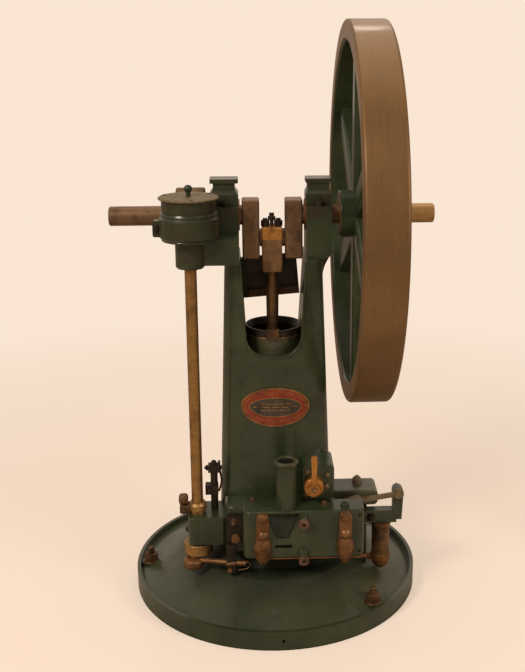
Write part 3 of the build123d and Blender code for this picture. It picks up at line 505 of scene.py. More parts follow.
@dataclass(frozen=True)
class WheelFinish:
    """Green arms and hub, with a bare turned rim that carries its lathe marks."""

    name: str = "wheel_paint_and_iron"
    rim_start: float = 0.4110
    hub_face: float = 0.1612

    def make(self) -> bpy.types.Material:
        """The finished material."""
        shader = Shader(self.name)
        x, y, z = shader.xyz
        high = z - AXIS_HEIGHT
        radius = y.hypot(high)
        turned = shader.join(x * 9.0, radius * 9.0, (y + high) * 0.12)
        lines = shader.noise(42.0, 4.0, 0.7, turned)
        broad = shader.noise(5.0, 4.0, 0.6)
        specks = shader.noise(240.0, 3.0, 0.6)
        iron = shader.mix(broad.above(0.5, 0.2), RIM.main, RIM.light)
        iron = shader.mix(lines.above(0.58, 0.14) * 0.22, iron, RIM.dark)
        iron = shader.mix(specks.above(0.64, 0.06) * 0.30, iron, RIM.dark)
        paint, paint_rough, paint_height = Enamel().layers(shader)
        bare = radius.above(self.rim_start, 0.0012) + x.below(self.hub_face, 0.0004)
        painted = 1.0 - bare
        rough = paint_rough * painted + (0.46 + broad * 0.14) * bare
        height = paint_height * painted + (lines * 0.6 + specks * 0.3) * bare
        colour = shader.mix(bare, paint, iron)
        return shader.close(colour, rough, bare * 0.5, height, 0.2, 0.0005, 0.1, 0.15, 0.3)


@dataclass(frozen=True)
class Banded:
    """One finish before a plane and another one past it, or inside a bore."""

    name: str
    low: Enamel | Metal
    high: Enamel | Metal
    reach: float
    way: Point = (0.0, 0.0, 1.0)
    inside: float = 0.0

    def make(self) -> bpy.types.Material:
        """The finished material."""
        shader = Shader(self.name)
        x, y, z = shader.xyz
        mask = (x * self.way[0] + y * self.way[1] + z * self.way[2]).above(self.reach, 0.0006)
        if self.inside:
            mask = 1.0 - x.hypot(y).above(self.inside, 0.0006) * (1.0 - mask)
        rest = 1.0 - mask
        low, low_rough, low_height = self.low.layers(shader)
        high, high_rough, high_height = self.high.layers(shader)
        colour = shader.mix(mask, low, high)
        rough = low_rough * rest + high_rough * mask
        height = low_height * rest + high_height * mask
        low_metal, high_metal = (getattr(end, "metallic", 0.0) for end in (self.low, self.high))
        metallic = rest * low_metal + mask * high_metal
        return shader.close(colour, rough, metallic, height, 0.2, 0.0005, 0.12, 0.15)


@dataclass(frozen=True)
class GuardFinish:
    """The crank guard: near black as painted shade under the webs, with a brown folded lip and an
    enamelled edge strip.
    """

    name: str = "guard_shade_lip_and_strip"
    middle: float = 0.7985
    tilt: float = 4.5
    lip_top: float = 0.765
    strip_edge: float = -0.063

    def make(self) -> bpy.types.Material:
        """The finished material."""
        shader = Shader(self.name)
        x, _, z = shader.xyz
        lean, rise = math.sin(math.radians(self.tilt)), z - self.middle
        lip = (rise - x * lean).below(self.lip_top - self.middle, 0.0008)
        strip = (x + rise * lean).below(self.strip_edge, 0.0008)
        # Painted shade: the guard's main face takes near-black tones, as the webs above shade it.
        guard_shade, rough, height = Metal("guard_shade", BLACK).layers(shader)
        brown = Metal("lip", IRON).layers(shader)[0]
        paint = Enamel().layers(shader)[0]
        colour = shader.mix(strip, shader.mix(lip, guard_shade, brown), paint)
        return shader.close(
            colour, rough + 0.08 * lip, 0.2, height, 0.2, 0.0004, specular=0.3)


@dataclass(frozen=True)
class PlateShape:
    """The oval plate's sizes, and its inner oval as shares of them."""

    middle: float = 0.508
    half_width: float = 0.084
    half_height: float = 0.049
    inner: tuple[float, float] = (0.745, 0.49)
    thickness: float = 0.004


@dataclass(frozen=True)
class PlateFinish:
    """The oval plate's bands: bright edge, red field, bright ring and dark middle."""

    name: str = "oval_plate_bands"
    shape: PlateShape = PlateShape()

    def make(self) -> bpy.types.Material:
        """The finished material."""
        shader, shape = Shader(self.name), self.shape
        x, _, z = shader.xyz
        across, up = x / shape.half_width, (z - shape.middle) / shape.half_height
        reach = across.hypot(up)
        inner = (across / shape.inner[0]).hypot(up / shape.inner[1])
        red, red_rough, red_height = Metal("red", RED, stain=0.6).layers(shader)
        brass, brass_rough, _ = Metal("edge", BRASS, stain=0.6).layers(shader)
        dark = Metal("middle", BLACK).layers(shader)[0]
        ring = inner.above(0.985, 0.012) * inner.below(1.03, 0.012)
        bright = reach.above(0.960, 0.012) + ring
        colour = shader.mix(bright, shader.mix(inner.above(1.0, 0.008), dark, red), brass)
        rough = red_rough * 0.9 + bright * (brass_rough - red_rough)
        return shader.close(colour, rough, 0.15 + bright * 0.6, red_height + bright, 0.4, 0.0005)


@dataclass(frozen=True)
class NutSize:
    """A hexagon nut: flats and height, its stud's radius and rise, and its washer's radius."""

    flats: float
    height: float
    stud: float = 0.0
    rise: float = 0.0
    washer: float = 0.0


Seated = tuple[Way, Point, NutSize]


class Piece:
    """A fitting in the making: bmesh operators, then a dressed object."""

    def __init__(self, name: str) -> None:
        """Starts an empty mesh."""
        self.name = name
        self.bm = bmesh.new()

    def _bevel(self, edges: Iterable[bmesh.types.BMEdge], size: float, segments: int) -> None:
        """Rounds a few edges."""
        bmesh.ops.bevel(
            self.bm, geom=list(edges), offset=size, offset_type="OFFSET", affect="EDGES",
            segments=segments, profile=0.5, material=-1, clamp_overlap=True,
        )

    def box(
        self, low: Sequence[float], high: Sequence[float], bevel: float, segments: int,
        turn: Matrix | None = None,
    ) -> None:
        """A block between two corners with rounded edges.

        Args:
            low: its lowest corner.
            high: its highest corner.
            bevel: the size of the rounding.
            segments: how many steps the rounding has.
            turn: a further placing of the whole block.
        """
        start, end = Vector(low), Vector(high)
        place = Matrix.Translation((start + end) / 2) @ Matrix.Diagonal((*(end - start), 1))
        made = bmesh.ops.create_cube(self.bm, size=1.0, matrix=(turn or Matrix()) @ place)
        self._bevel(linked(made["verts"]), bevel, segments)

    def lathe(self, profile: Iterable[tuple[float, float]], place: Matrix, steps: int) -> None:
        """A turned shape.

        Args:
            profile: its (radius, height) points, from one pole or edge to the other.
            place: where its axis stands.
            steps: how many steps there are round it.
        """
        verts = [self.bm.verts.new(place @ Vector((radius, 0, rise))) for radius, rise in profile]
        edges = [self.bm.edges.new(pair) for pair in zip(verts, verts[1:])]
        bmesh.ops.spin(
            self.bm, geom=verts + edges, cent=place.translation,
            axis=place.to_3x3() @ Vector((0, 0, 1)), angle=TAU, steps=steps, use_merge=True,
        )
        bmesh.ops.remove_doubles(self.bm, verts=self.bm.verts[:], dist=1e-6)

    def nut(self, place: Matrix, size: NutSize) -> None:
        """A hexagon nut with its washer and the rounded end of its stud.

        Args:
            place: the middle of its seat, with Z out of the surface.
            size: its sizes.
        """
        thick = size.height * 0.18 if size.washer else 0.0
        if thick:
            edge = ((size.washer, thick * 0.6), (size.washer - thick * 0.4, thick))
            self.lathe([(0, 0), (size.washer, 0), *edge, (0, thick)], place, 28)
        radius = size.flats / math.sqrt(3)
        made = bmesh.ops.create_cone(
            self.bm, cap_ends=True, segments=6, radius1=radius, radius2=radius, depth=size.height,
            matrix=place @ Matrix.Translation((0, 0, thick + size.height / 2)),
        )
        top = (place @ Matrix.Translation((0, 0, thick + size.height))).translation
        out = place.to_3x3() @ Vector((0, 0, 1))
        rim = [
            edge for edge in linked(made["verts"])
            if all(abs((end.co - top).dot(out)) < 1e-6 for end in edge.verts)
        ]
        self._bevel(rim, size.height * 0.14, 2)
        if size.stud:
            end = thick + size.height + size.rise
            crown = ((size.stud, end - size.stud * 0.4), (size.stud * 0.7, end - size.stud * 0.1))
            self.lathe([(size.stud, thick), *crown, (0, end)], place, 20)

    def slotted(self, place: Matrix, radius: float, height: float) -> None:
        """A round-headed screw with a slot.

        Args:
            place: the middle of its seat.
            radius: the head's radius.
            height: the head's height.
        """
        for side in (-1, 1):
            made = bmesh.ops.create_uvsphere(
                self.bm, u_segments=20, v_segments=12, radius=radius,
                matrix=place @ Matrix.Diagonal((1, 1, height / radius, 1)),
            )
            verts = made["verts"][:]
            geom = verts + linked(verts) + linked(verts, "link_faces")
            across = place.to_3x3() @ Vector((0, 1, 0))
            cut = place.translation + across * side * radius * 0.12
            split = bmesh.ops.bisect_plane(
                self.bm, geom=geom, dist=1e-7, plane_co=cut, plane_no=across * -side,
                clear_outer=True,
            )
            bmesh.ops.holes_fill(self.bm, edges=only(split["geom_cut"], bmesh.types.BMEdge))

    def tube(self, route: Iterable[Sequence[float]], radius: float, order: int = 3) -> None:
        """A bent bar or pipe along a smooth route.

        Args:
            route: its control points.
            radius: its radius.
            order: the order of the spline.
        """
        spots = list(route)
        curve = bpy.data.curves.new(self.name + "_route", "CURVE")
        curve.dimensions = "3D"
        curve.resolution_u = 8
        curve.bevel_depth = radius
        curve.bevel_resolution = 4
        curve.use_fill_caps = True
        spline = curve.splines.new("NURBS")
        spline.points.add(len(spots) - 1)
        for point, spot in zip(spline.points, spots):
            point.co = (*spot, 1.0)
        spline.order_u = order
        spline.use_endpoint_u = True
        holder = placed(self.name + "_route", curve)
        solved = holder.evaluated_get(bpy.context.evaluated_depsgraph_get())
        mesh = bpy.data.meshes.new_from_object(solved)
        self.bm.from_mesh(mesh)
        bpy.data.objects.remove(holder)
        bpy.data.curves.remove(curve)
        bpy.data.meshes.remove(mesh)

    def prism(
        self, outline: Profile, front: float, back: float, bevel: float, segments: int
    ) -> None:
        """A shape drawn in the front view and carried from front to back.

        Args:
            outline: its (x, z) corners.
            front: where its front face is, along Y.
            back: where its back face is, along Y.
            bevel: the size of the rounding.
            segments: how many steps the rounding has.
        """
        verts = [self.bm.verts.new((x, front, z)) for x, z in outline]
        face = self.bm.faces.new(verts)
        made = bmesh.ops.extrude_face_region(self.bm, geom=[face])
        moved = only(made["geom"], bmesh.types.BMVert)
        bmesh.ops.translate(self.bm, verts=moved, vec=(0, back - front, 0))
        self._bevel(linked(verts + moved), bevel, segments)

    def dress(self, finish: bpy.types.Material, slot: Slot, body: Body = Body.FRAME) -> None:
        """Ends the piece: normals, shading, finish and the body that it rides on.

        Args:
            finish: its material.
            slot: the record's material slot; not used.
            body: the body that it rides on.
        """
        bmesh.ops.recalc_face_normals(self.bm, faces=self.bm.faces[:])
        for face in self.bm.faces:
            face.smooth = True
        for edge in self.bm.edges:
            if len(edge.link_faces) == 2:
                edge.smooth = edge.calc_face_angle(0.0) < SMOOTH_ANGLE
        mesh = bpy.data.meshes.new(self.name)
        self.bm.to_mesh(mesh)
        self.bm.free()
        mesh.materials.append(finish)
        made = placed(self.name, mesh)
        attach(made, body.value)
        LOG.info("piece %s: %d faces on %s", self.name, len(mesh.polygons), body.value)


class Finishes:
    """Every material of the engine, made once."""

    def __init__(self) -> None:
        """Makes the materials."""
        green = Enamel()
        self.green = green.make()
        self.oily = Enamel("oily_enamel", grime_tone=OIL, grime_start=0.50).make()
        # Painted light: the exhaust box takes the lighter enamel, as its top stands in the light.
        self.dusty = Enamel("lit_green_enamel", LIT_GREEN, LIT_GREEN.dark).make()
        # Painted shade under the chest on the column foot, and dust on the dish.
        self.sheltered = DustAndShadeEnamel().make()
        self.cover = CoverEnamel().make()
        self.chimney = ChimneyEnamel().make()
        self.iron = Metal("bare_cast_iron", IRON, roughness=0.42, metallic=0.7).make()
        self.steel = Metal("machined_steel", STEEL).make()
        self.upright = Metal("upright_shaft", BRASS, (0.6, 0.6, 9.0), 0.32, 0.85, 0.62).make()
        self.bronze = Metal("old_bronze", BRONZE, roughness=0.33).make()
        self.gold = Metal("rubbed_bronze", GOLD, roughness=0.30, stain=0.62).make()
        self.forged = Metal("oiled_forging", FORGED, (1.5, 1.5, 0.5), 0.36, 0.6).make()
        self.brass = Metal("old_brass", BRASS, roughness=0.30).make()
        self.dark = Metal("black_steel", DARK, roughness=0.42, metallic=0.6).make()
        self.lid = Metal(
            "pale_lid_iron", PALE, roughness=0.46, metallic=0.35, stain=0.62).make()
        self.wheel = WheelFinish().make()
        self.guard = GuardFinish().make()
        self.plate = PlateFinish().make()
        self.shaft, self.valve, self.barrel, self.stub_upper, self.stub_lower = (
            self.banded(green))

    def banded(self, green: Enamel) -> list[bpy.types.Material]:
        """The materials that change at a plane.

        Args:
            green: the plain enamel.

        Returns:
            Those of the shaft, the gas valve, the barrel and the two gas stubs.
        """
        along = (12.0, 0.6, 0.6)
        left_end = Metal("turned_shaft_left", STEEL, along, 0.38, 0.6, 0.6)
        # Painted light: the shaft's right end takes lighter brass tones, as more light falls on it.
        lit_right_end = Metal("turned_shaft_lit_right", BRASS, along, 0.33, 0.6, 0.6)
        body = Tones(BRONZE.light, (0.140, 0.078, 0.036, 1), GREEN.dark)
        dull = Metal("dull_bronze", body, roughness=0.4)
        # Painted highlight: the valve's bowl takes lighter, golden tones than its body.
        bowl = Tones(GOLD.main, BRONZE.light, BRONZE.dark)
        lit = Metal("lit_bronze_bowl", bowl, roughness=0.3)
        # Painted light: the barrel takes a lighter copy of the enamel, against the shade of the
        # slot.
        lit_jacket = Enamel("lit_jacket_enamel", LIT_GREEN)
        # Painted shade: near-black metal for the bore of the barrel.
        hollow_shade = Metal("bore_shade_iron", DARK, roughness=0.38, metallic=0.5)
        union = Metal("union_ring", PINK, roughness=0.36)
        tilted = (0.0, -0.9744, -0.2250)
        return [finish.make() for finish in (
            # Painted light: the lighter right end of the shaft.
            Banded("turned_shaft", left_end, lit_right_end, 0.2, (1.0, 0.0, 0.0)),
            # Painted highlight on the valve's bowl below the plane, its plain bronze body above.
            Banded("valve_body_and_bowl", lit, dull, 0.1085),
            # The barrel: lighter enamel as painted light below the band edge; near black above it
            # and in the bore, as painted shade in the bore.
            Banded("barrel_lit_paint_and_shaded_bore", lit_jacket, hollow_shade, 0.671, inside=0.0668),
            Banded("upper_union_paint_and_ring", green, union, 0.1764, tilted),
            Banded("lower_union_paint_and_ring", green, union, 0.1982, tilted),
        )]


@dataclass(frozen=True)
class Lamp:
    """A soft square lamp: its name, place, target, side in metres and power in watts."""

    name: str
    spot: Point
    target: Point
    size: float
    power: float
    colour: Point = (1.0, 0.90, 0.79)

    def hang(self) -> None:
        """Puts the lamp up."""
        data = bpy.data.lights.new(self.name, "AREA")
        data.size = self.size
        data.energy = self.power
        data.color = self.colour
        turned = (Vector(self.target) - Vector(self.spot)).to_track_quat("-Z", "Y").to_matrix()
        placed(self.name, data).matrix_world = Matrix.Translation(self.spot) @ turned.to_4x4()


@dataclass
class Studio:
    """Camera, light, floor and backdrop."""

    eye: Point = (-0.06178, -2.49278, 1.41796)
    yaw: float = 2.73
    pitch: float = -15.5
    roll: float = -0.16
    focal_pixels: float = 1041.66
    centre: tuple[float, float] = (296.41, 309.2)
    frame: tuple[int, int] = (525, 672)
    sensor: float = 36.0
    paper: Colour = (0.955, 0.790, 0.650, 1)
    floor_share: float = 0.60
    floor_glow: float = 0.50
    floor_radius: float = 14.0
    fade: tuple[float, float] = (1.7, 0.8)
    world_light: float = 0.35
    world_front: float = 0.30
    world_back: float = 0.75
    lamps: tuple[Lamp, ...] = (
        Lamp("key", (-2.2, -2.4, 3.2), (0, 0, 0.7), 1.0, 78.0),
        Lamp("fill", (2.6, -2.0, 2.0), (0, 0, 0.7), 1.0, 36.0),
        Lamp("spark", (0.5, 2.4, 3.2), (0, 0, 0.3), 0.3, 8.0),
        Lamp("top", (0.2, 0.6, 3.6), (0, 0, 0.7), 1.6, 17.0),
    )

    def camera(self) -> None:
        """Sets the camera up as the photograph's was."""
        yaw, pitch, roll = (math.radians(value) for value in (self.yaw, self.pitch, self.roll))
        level = math.cos(pitch)
        forward = Vector((math.sin(yaw) * level, math.cos(yaw) * level, math.sin(pitch)))
        right = Vector((math.cos(yaw), -math.sin(yaw), 0))
        up = right.cross(forward)
        across = math.cos(roll) * right + math.sin(roll) * up
        upward = -math.sin(roll) * right + math.cos(roll) * up
        width, height = self.frame
        data = bpy.data.cameras.new("camera")
        data.sensor_fit = "HORIZONTAL"
        data.sensor_width = self.sensor
        data.lens = self.sensor * self.focal_pixels / width
        data.shift_x = (width / 2 - self.centre[0]) / width
        data.shift_y = (self.centre[1] - height / 2) / width
        data.clip_end = 60.0
        camera = placed("camera", data)
        turned = Matrix((across, upward, -forward)).transposed().to_4x4()
        camera.matrix_world = Matrix.Translation(self.eye) @ turned
        bpy.context.scene.camera = camera

    def floor(self) -> None:
        """The pale floor, which keeps the shadow and turns into plain paper far away."""
        shader = Shader("studio_paper")
        floor_paper = tuple(part * self.floor_share for part in self.paper[:3]) + (1.0,)
        seen = shader.add("ShaderNodeLightPath", out="Is Camera Ray")
        paper = shader.add("ShaderNodeBsdfDiffuse", None, {"Color": floor_paper})
        lit = {"Color": self.paper, "Strength": seen * self.floor_glow}
        glow = shader.add("ShaderNodeEmission", None, lit)
        near = shader.add("ShaderNodeAddShader", None, {0: paper, 1: glow})
        far = shader.add("ShaderNodeEmission", None, {"Color": self.paper, "Strength": 1.0})
        x, y, _ = shader.xyz
        away = x.hypot(y).above(*self.fade) * seen
        shader.end(shader.add("ShaderNodeMixShader", None, {0: away, 1: near, 2: far}))
        bm = bmesh.new()
        bmesh.ops.create_circle(bm, cap_ends=True, segments=96, radius=self.floor_radius)
        mesh = bpy.data.meshes.new("floor")
        bm.to_mesh(mesh)
        bm.free()
        mesh.materials.append(shader.material)
        floor = placed("floor", mesh)

    def room(self) -> None:
        """The world: plain light, paper for the camera, and a paler back to mirror."""
        room = Shader("studio", world=True)
        _, back, _ = room.split(room.add("ShaderNodeTexCoord", out="Generated"))
        behind = back.above(0.35, 0.4)
        mirrored = self.world_front + (self.world_back - self.world_front) * behind
        camera, glossy, clear = (
            room.add("ShaderNodeLightPath", out=f"Is {kind} Ray")
            for kind in ("Camera", "Glossy", "Transmission"))
        shiny = glossy.either(clear)
        strength = self.world_light * (1.0 - shiny) * (1.0 - camera) + mirrored * shiny
        sky = {"Color": self.paper, "Strength": strength.either(camera)}
        room.end(room.add("ShaderNodeBackground", None, sky))
        bpy.context.scene.world = room.material

    def build(self) -> None:
        """Builds the whole studio."""
        bpy.context.scene.view_settings.view_transform = "Standard"
        self.camera()
        self.floor()
        self.room()
        for lamp in self.lamps:
            lamp.hang()


@dataclass(frozen=True)
class ColumnFront:
    """The column's front face, which bows across and leans back."""

    half_depth: float = 0.1135
    height: float = 0.230
    taper: float = 0.0337
    bow_radius: float = 0.260

    def y(self, x: float, z: float) -> float:
        """Where the face is along Y, at a point's X and Z."""
        lean = (z - self.height) * self.taper
        return x * x / (2 * self.bow_radius) - self.half_depth + lean


@dataclass(frozen=True)
class SlotLip:
    """The outline of the column's slot on its bowed front, with its full bottom corners."""

    bottom: float = 0.632
    bend: float = 0.900
    low: tuple[float, float] = (-0.0675, 0.0630)
    high: tuple[float, float] = (-0.0825, 0.0790)
    heights: tuple[float, ...] = (0.864, 0.82, 0.77, 0.72)
    cast_round: float = 0.030
    full_round: float = 0.054
    overlap: float = 0.004
    thickness: float = 0.0024
    sunk: float = 0.0006
    fill_sunk: float = 0.0008
    wall: float = 0.022
    face: ColumnFront = ColumnFront()

    def edge(self, side: int, z: float) -> float:
        """Where the slot's left (0) or right (1) side is along X at a height."""
        share = (z - self.bottom) / (self.bend - self.bottom)
        return self.low[side] + (self.high[side] - self.low[side]) * share

    def corner(
        self, side: int, radius: float, share: float, grow: float = 0.0
    ) -> tuple[float, float]:
        """A point on a bottom corner.

        Args:
            side: 0 for the left, 1 for the right.
            radius: the corner's radius.
            share: how far round it, from 0 at the bottom to 1 at the side.
            grow: how far outside the corner the point lies.

        Returns:
            The point's X and Z.
        """
        sign = (-1, 1)[side]
        middle = self.bottom + radius
        angle = share * TAU / 4
        x = self.edge(side, middle) - sign * radius + sign * (radius + grow) * math.sin(angle)
        return x, middle - (radius + grow) * math.cos(angle)

    def route(self) -> list[Point]:
        """The lip's points, down the left side, round the bottom and up the right side."""
        sides = [
            [(self.edge(side, z), z) for z in self.heights]
            + [self.corner(side, self.full_round, step / 8) for step in range(8, -1, -1)]
            for side in (0, 1)
        ]
        flat = sides[0] + sides[1][::-1]
        return [(x, self.face.y(x, z) + self.sunk, z) for x, z in flat]

    def fill(self, piece: Piece, side: int) -> None:
        """Adds the crescent that rounds one bottom corner in full.

        Args:
            piece: the piece that it joins.
            side: 0 for the left, 1 for the right.
        """
        made = bmesh.ops.create_grid(piece.bm, x_segments=12, y_segments=2, size=1.0)
        for vert in made["verts"]:
            share, mixed = (vert.co.x + 1) / 2, (vert.co.y + 1) / 2
            inner = self.corner(side, self.full_round, share)
            outer = self.corner(side, self.cast_round, share, self.overlap)
            x, z = (one + (two - one) * mixed for one, two in zip(inner, outer))
            vert.co = (x, self.face.y(x, z) + self.fill_sunk, z)
        faces = linked(made["verts"], "link_faces")
        grown = bmesh.ops.extrude_face_region(piece.bm, geom=faces, use_keep_orig=True)
        moved = only(grown["geom"], bmesh.types.BMVert)
        bmesh.ops.translate(piece.bm, verts=moved, vec=(0, self.wall, 0))
        bmesh.ops.recalc_face_normals(piece.bm, faces=piece.bm.faces[:])


@dataclass
class Assembly:
    """A sub-assembly: it holds its sizes, and its methods build and dress its fittings."""

    finishes: Finishes

    def nuts(
        self, name: str, finish: bpy.types.Material, slot: Slot, size: NutSize,
        seats: Iterable[Matrix], body: Body = Body.FRAME,
    ) -> None:
        """One piece made of nuts of one size.

        Args:
            name: the piece's name.
            finish: its material.
            slot: the record's material slot.
            size: the nuts' sizes.
            seats: the nuts' places.
            body: the body that it rides on.
        """
        piece = Piece(name)
        for seat in seats:
            piece.nut(seat, size)
        piece.dress(finish, slot, body)


@dataclass
class Frame(Assembly):
    """The base, the column and the bearings."""

    stud_circle: float = 0.328
    stud_angles: tuple[float, ...] = (180.0, -45.0, 67.5)
    stud_nut: NutSize = NutSize(0.030, 0.020, 0.0085, 0.018, 0.0215)
    pad_top: float = 0.043
    cap_middles: tuple[float, float] = (-0.11625, 0.1095)
    cap_shoulder: tuple[float, float] = (0.046, 0.993)
    cap_nut: NutSize = NutSize(0.020, 0.011, 0.0055, 0.006, 0.0125)
    haunch: Point = (0.1275, -0.030, 0.872)
    haunch_nut: NutSize = NutSize(0.0170, 0.009, 0.0055, 0.004, 0.0115)
    lip: SlotLip = SlotLip()
    band_edge: Profile = (
        (0.0696, 0.6706), (0.0706, 0.6708), (0.0709, 0.6715), (0.0706, 0.6722), (0.0696, 0.6724))

    def bolts(self) -> None:
        """The hold-down studs, the nuts of the caps and the bolt of the right haunch."""
        seats = [
            Way.UP.at(*polar(self.stud_circle, angle), self.pad_top, angle)
            for angle in self.stud_angles
        ]
        self.nuts("hold_down_nuts", self.finishes.iron, Slot.DARK, self.stud_nut, seats)
        reach, top = self.cap_shoulder
        seats = [Way.UP.at(x, y, top, 0.3) for x in self.cap_middles for y in (-reach, reach)]
        self.nuts("bearing_cap_nuts", self.finishes.dark, Slot.DARK, self.cap_nut, seats)
        seats = [Way.FRONT.at(*self.haunch, 0.3)]
        self.nuts("haunch_bolt", self.finishes.dark, Slot.DARK, self.haunch_nut, seats)

    def slot_edge(self) -> None:
        """The rounded lip of the column's slot, and the full round of its bottom corners."""
        rounds = Piece("slot_corner_rounds")
        for side in (0, 1):
            self.lip.fill(rounds, side)
        rounds.dress(self.finishes.green, Slot.GREEN)
        lip = Piece("slot_lip")
        lip.tube(self.lip.route(), self.lip.thickness, 2)
        lip.dress(self.finishes.green, Slot.GREEN)

    def barrel_line(self) -> None:
        """The thin bright edge under the turned band of the cylinder's rim."""
        piece = Piece("barrel_band_edge")
        piece.lathe(self.band_edge, Matrix(), 96)
        piece.dress(self.finishes.brass, Slot.IRON)

    def build(self) -> None:
        """Builds every fitting of the frame."""
        self.bolts()
        self.slot_edge()
        self.barrel_line()


@dataclass
class GearCaseFittings(Assembly):
    """Small parts on the gear case and its lid."""

    middle: tuple[float, float] = (-0.196, -0.112)
    bead_rings: tuple[Point, ...] = ((0.9905, 0.0635, 0.0055), (0.932, 0.0615, 0.0050))
    bead_root: float = 0.004
    ear: Point = (-0.270, -0.123, 0.956)
    ear_nut: NutSize = NutSize(0.014, 0.007, 0.004, 0.004)
    screw_circle: float = 0.061
    screw_turns: tuple[float, ...] = (40.0, 160.0, 280.0)
    screw_head: tuple[float, float] = (0.0042, 0.0022)
    screw_seat: float = 1.0293

    def beads(self) -> None:
        """The cast beads that run round the case."""
        piece = Piece("gear_case_beads")
        for height, radius, thick in self.bead_rings:
            half = [(-1.0, None), (-0.7, 0.5), (0.0, 0.8), (0.7, 0.5), (1.0, None)]
            piece.lathe(
                [(radius - self.bead_root if out is None else radius + thick * out,
                  height + thick * rise) for rise, out in half],
                Matrix.Translation((*self.middle, 0)), 72,
            )
        piece.dress(self.finishes.green, Slot.GREEN)

    def bolts(self) -> None:
        """The bolt of the ear and the screws of the lid."""
        piece = Piece("gear_case_bolts")
        piece.nut(Way.FRONT.at(*self.ear), self.ear_nut)
        for turn in self.screw_turns:
            across, deep = polar(self.screw_circle, turn)
            x, y = self.middle[0] + across, self.middle[1] + deep
            seat = Way.UP.at(x, y, self.screw_seat, math.radians(turn))
            piece.slotted(seat, *self.screw_head)
        piece.dress(self.finishes.dark, Slot.DARK)

    def build(self) -> None:
        """Builds every fitting of the gear case."""
        self.beads()
        self.bolts()


@dataclass
class SideShaftFittings(Assembly):
    """Clamp, lever strip, joint line and bolts round the side shaft's foot."""

    clamp_blocks: tuple[tuple[Point, Point, float], ...] = (
        ((-0.2400, -0.127, 0.2368), (-0.2120, -0.097, 0.2600), 0.004),
        ((-0.2420, -0.124, 0.2590), (-0.2190, -0.100, 0.2845), 0.007))
    clamp_nuts: tuple[Seated, ...] = (
        (Way.FRONT, (-0.2310, -0.124, 0.2725), NutSize(0.013, 0.006, 0.0035, 0.004)),
        (Way.FRONT, (-0.2300, -0.127, 0.2470), NutSize(0.012, 0.005, 0.0035, 0.003)))
    strip_route: tuple[Point, ...] = (
        (-0.1425, -0.095, 0.284), (-0.1330, -0.095, 0.308), (-0.1395, -0.095, 0.336),
        (-0.1408, -0.095, 0.366))
    strip_radius: float = 0.0026
    strip_nuts: tuple[Seated, ...] = (
        (Way.LEFT, (-0.168, -0.095, 0.347), NutSize(0.012, 0.006, 0.0035, 0.004)),
        (Way.RIGHT, (-0.140, -0.095, 0.347), NutSize(0.010, 0.005, 0.003, 0.002)),
        (Way.FRONT, (-0.166, -0.107, 0.291), NutSize(0.013, 0.006, 0.004, 0.004)),
        (Way.UP, (-0.154, -0.095, 0.3587), NutSize(0.013, 0.006, 0.004, 0.003)))
    joint: tuple[Point, Point] = ((-0.1995, -0.1507, 0.1655), (-0.1965, -0.1490, 0.2335))
    bracket_nut: NutSize = NutSize(0.014, 0.006, 0.004, 0.003, 0.009)
    bracket_bolts: tuple[float, float] = (0.216, 0.184)

    def clamp(self) -> None:
        """The dark clamp left of the gland, and its bolts."""
        piece = Piece("gland_clamp")
        for low, high, bevel in self.clamp_blocks:
            piece.box(low, high, bevel, 3)
        for way, spot, size in self.clamp_nuts:
            piece.nut(way.at(*spot), size)
        piece.dress(self.finishes.iron, Slot.DARK)

    def strip(self) -> None:
        """The thin bent strip beside the lever post, with its pin and the post's nuts."""
        piece = Piece("post_strip")
        piece.tube(self.strip_route, self.strip_radius)
        for way, spot, size in self.strip_nuts:
            piece.nut(way.at(*spot), size)
        piece.dress(self.finishes.dark, Slot.DARK)

    def bracket_joint(self) -> None:
        """The joint line of the split lower bearing, and its bolts on the left side."""
        joint = Piece("side_bracket_joint")
        joint.box(*self.joint, 0.0005, 1)
        joint.dress(self.finishes.green, Slot.GREEN)
        seats = [Way.LEFT.at(-0.219, -0.100, z, 0.2) for z in self.bracket_bolts]
        self.nuts("side_bracket_bolts", self.finishes.dark, Slot.DARK, self.bracket_nut, seats)

    def build(self) -> None:
        """Builds every fitting of the side shaft's foot."""
        self.clamp()
        self.strip()
        self.bracket_joint()


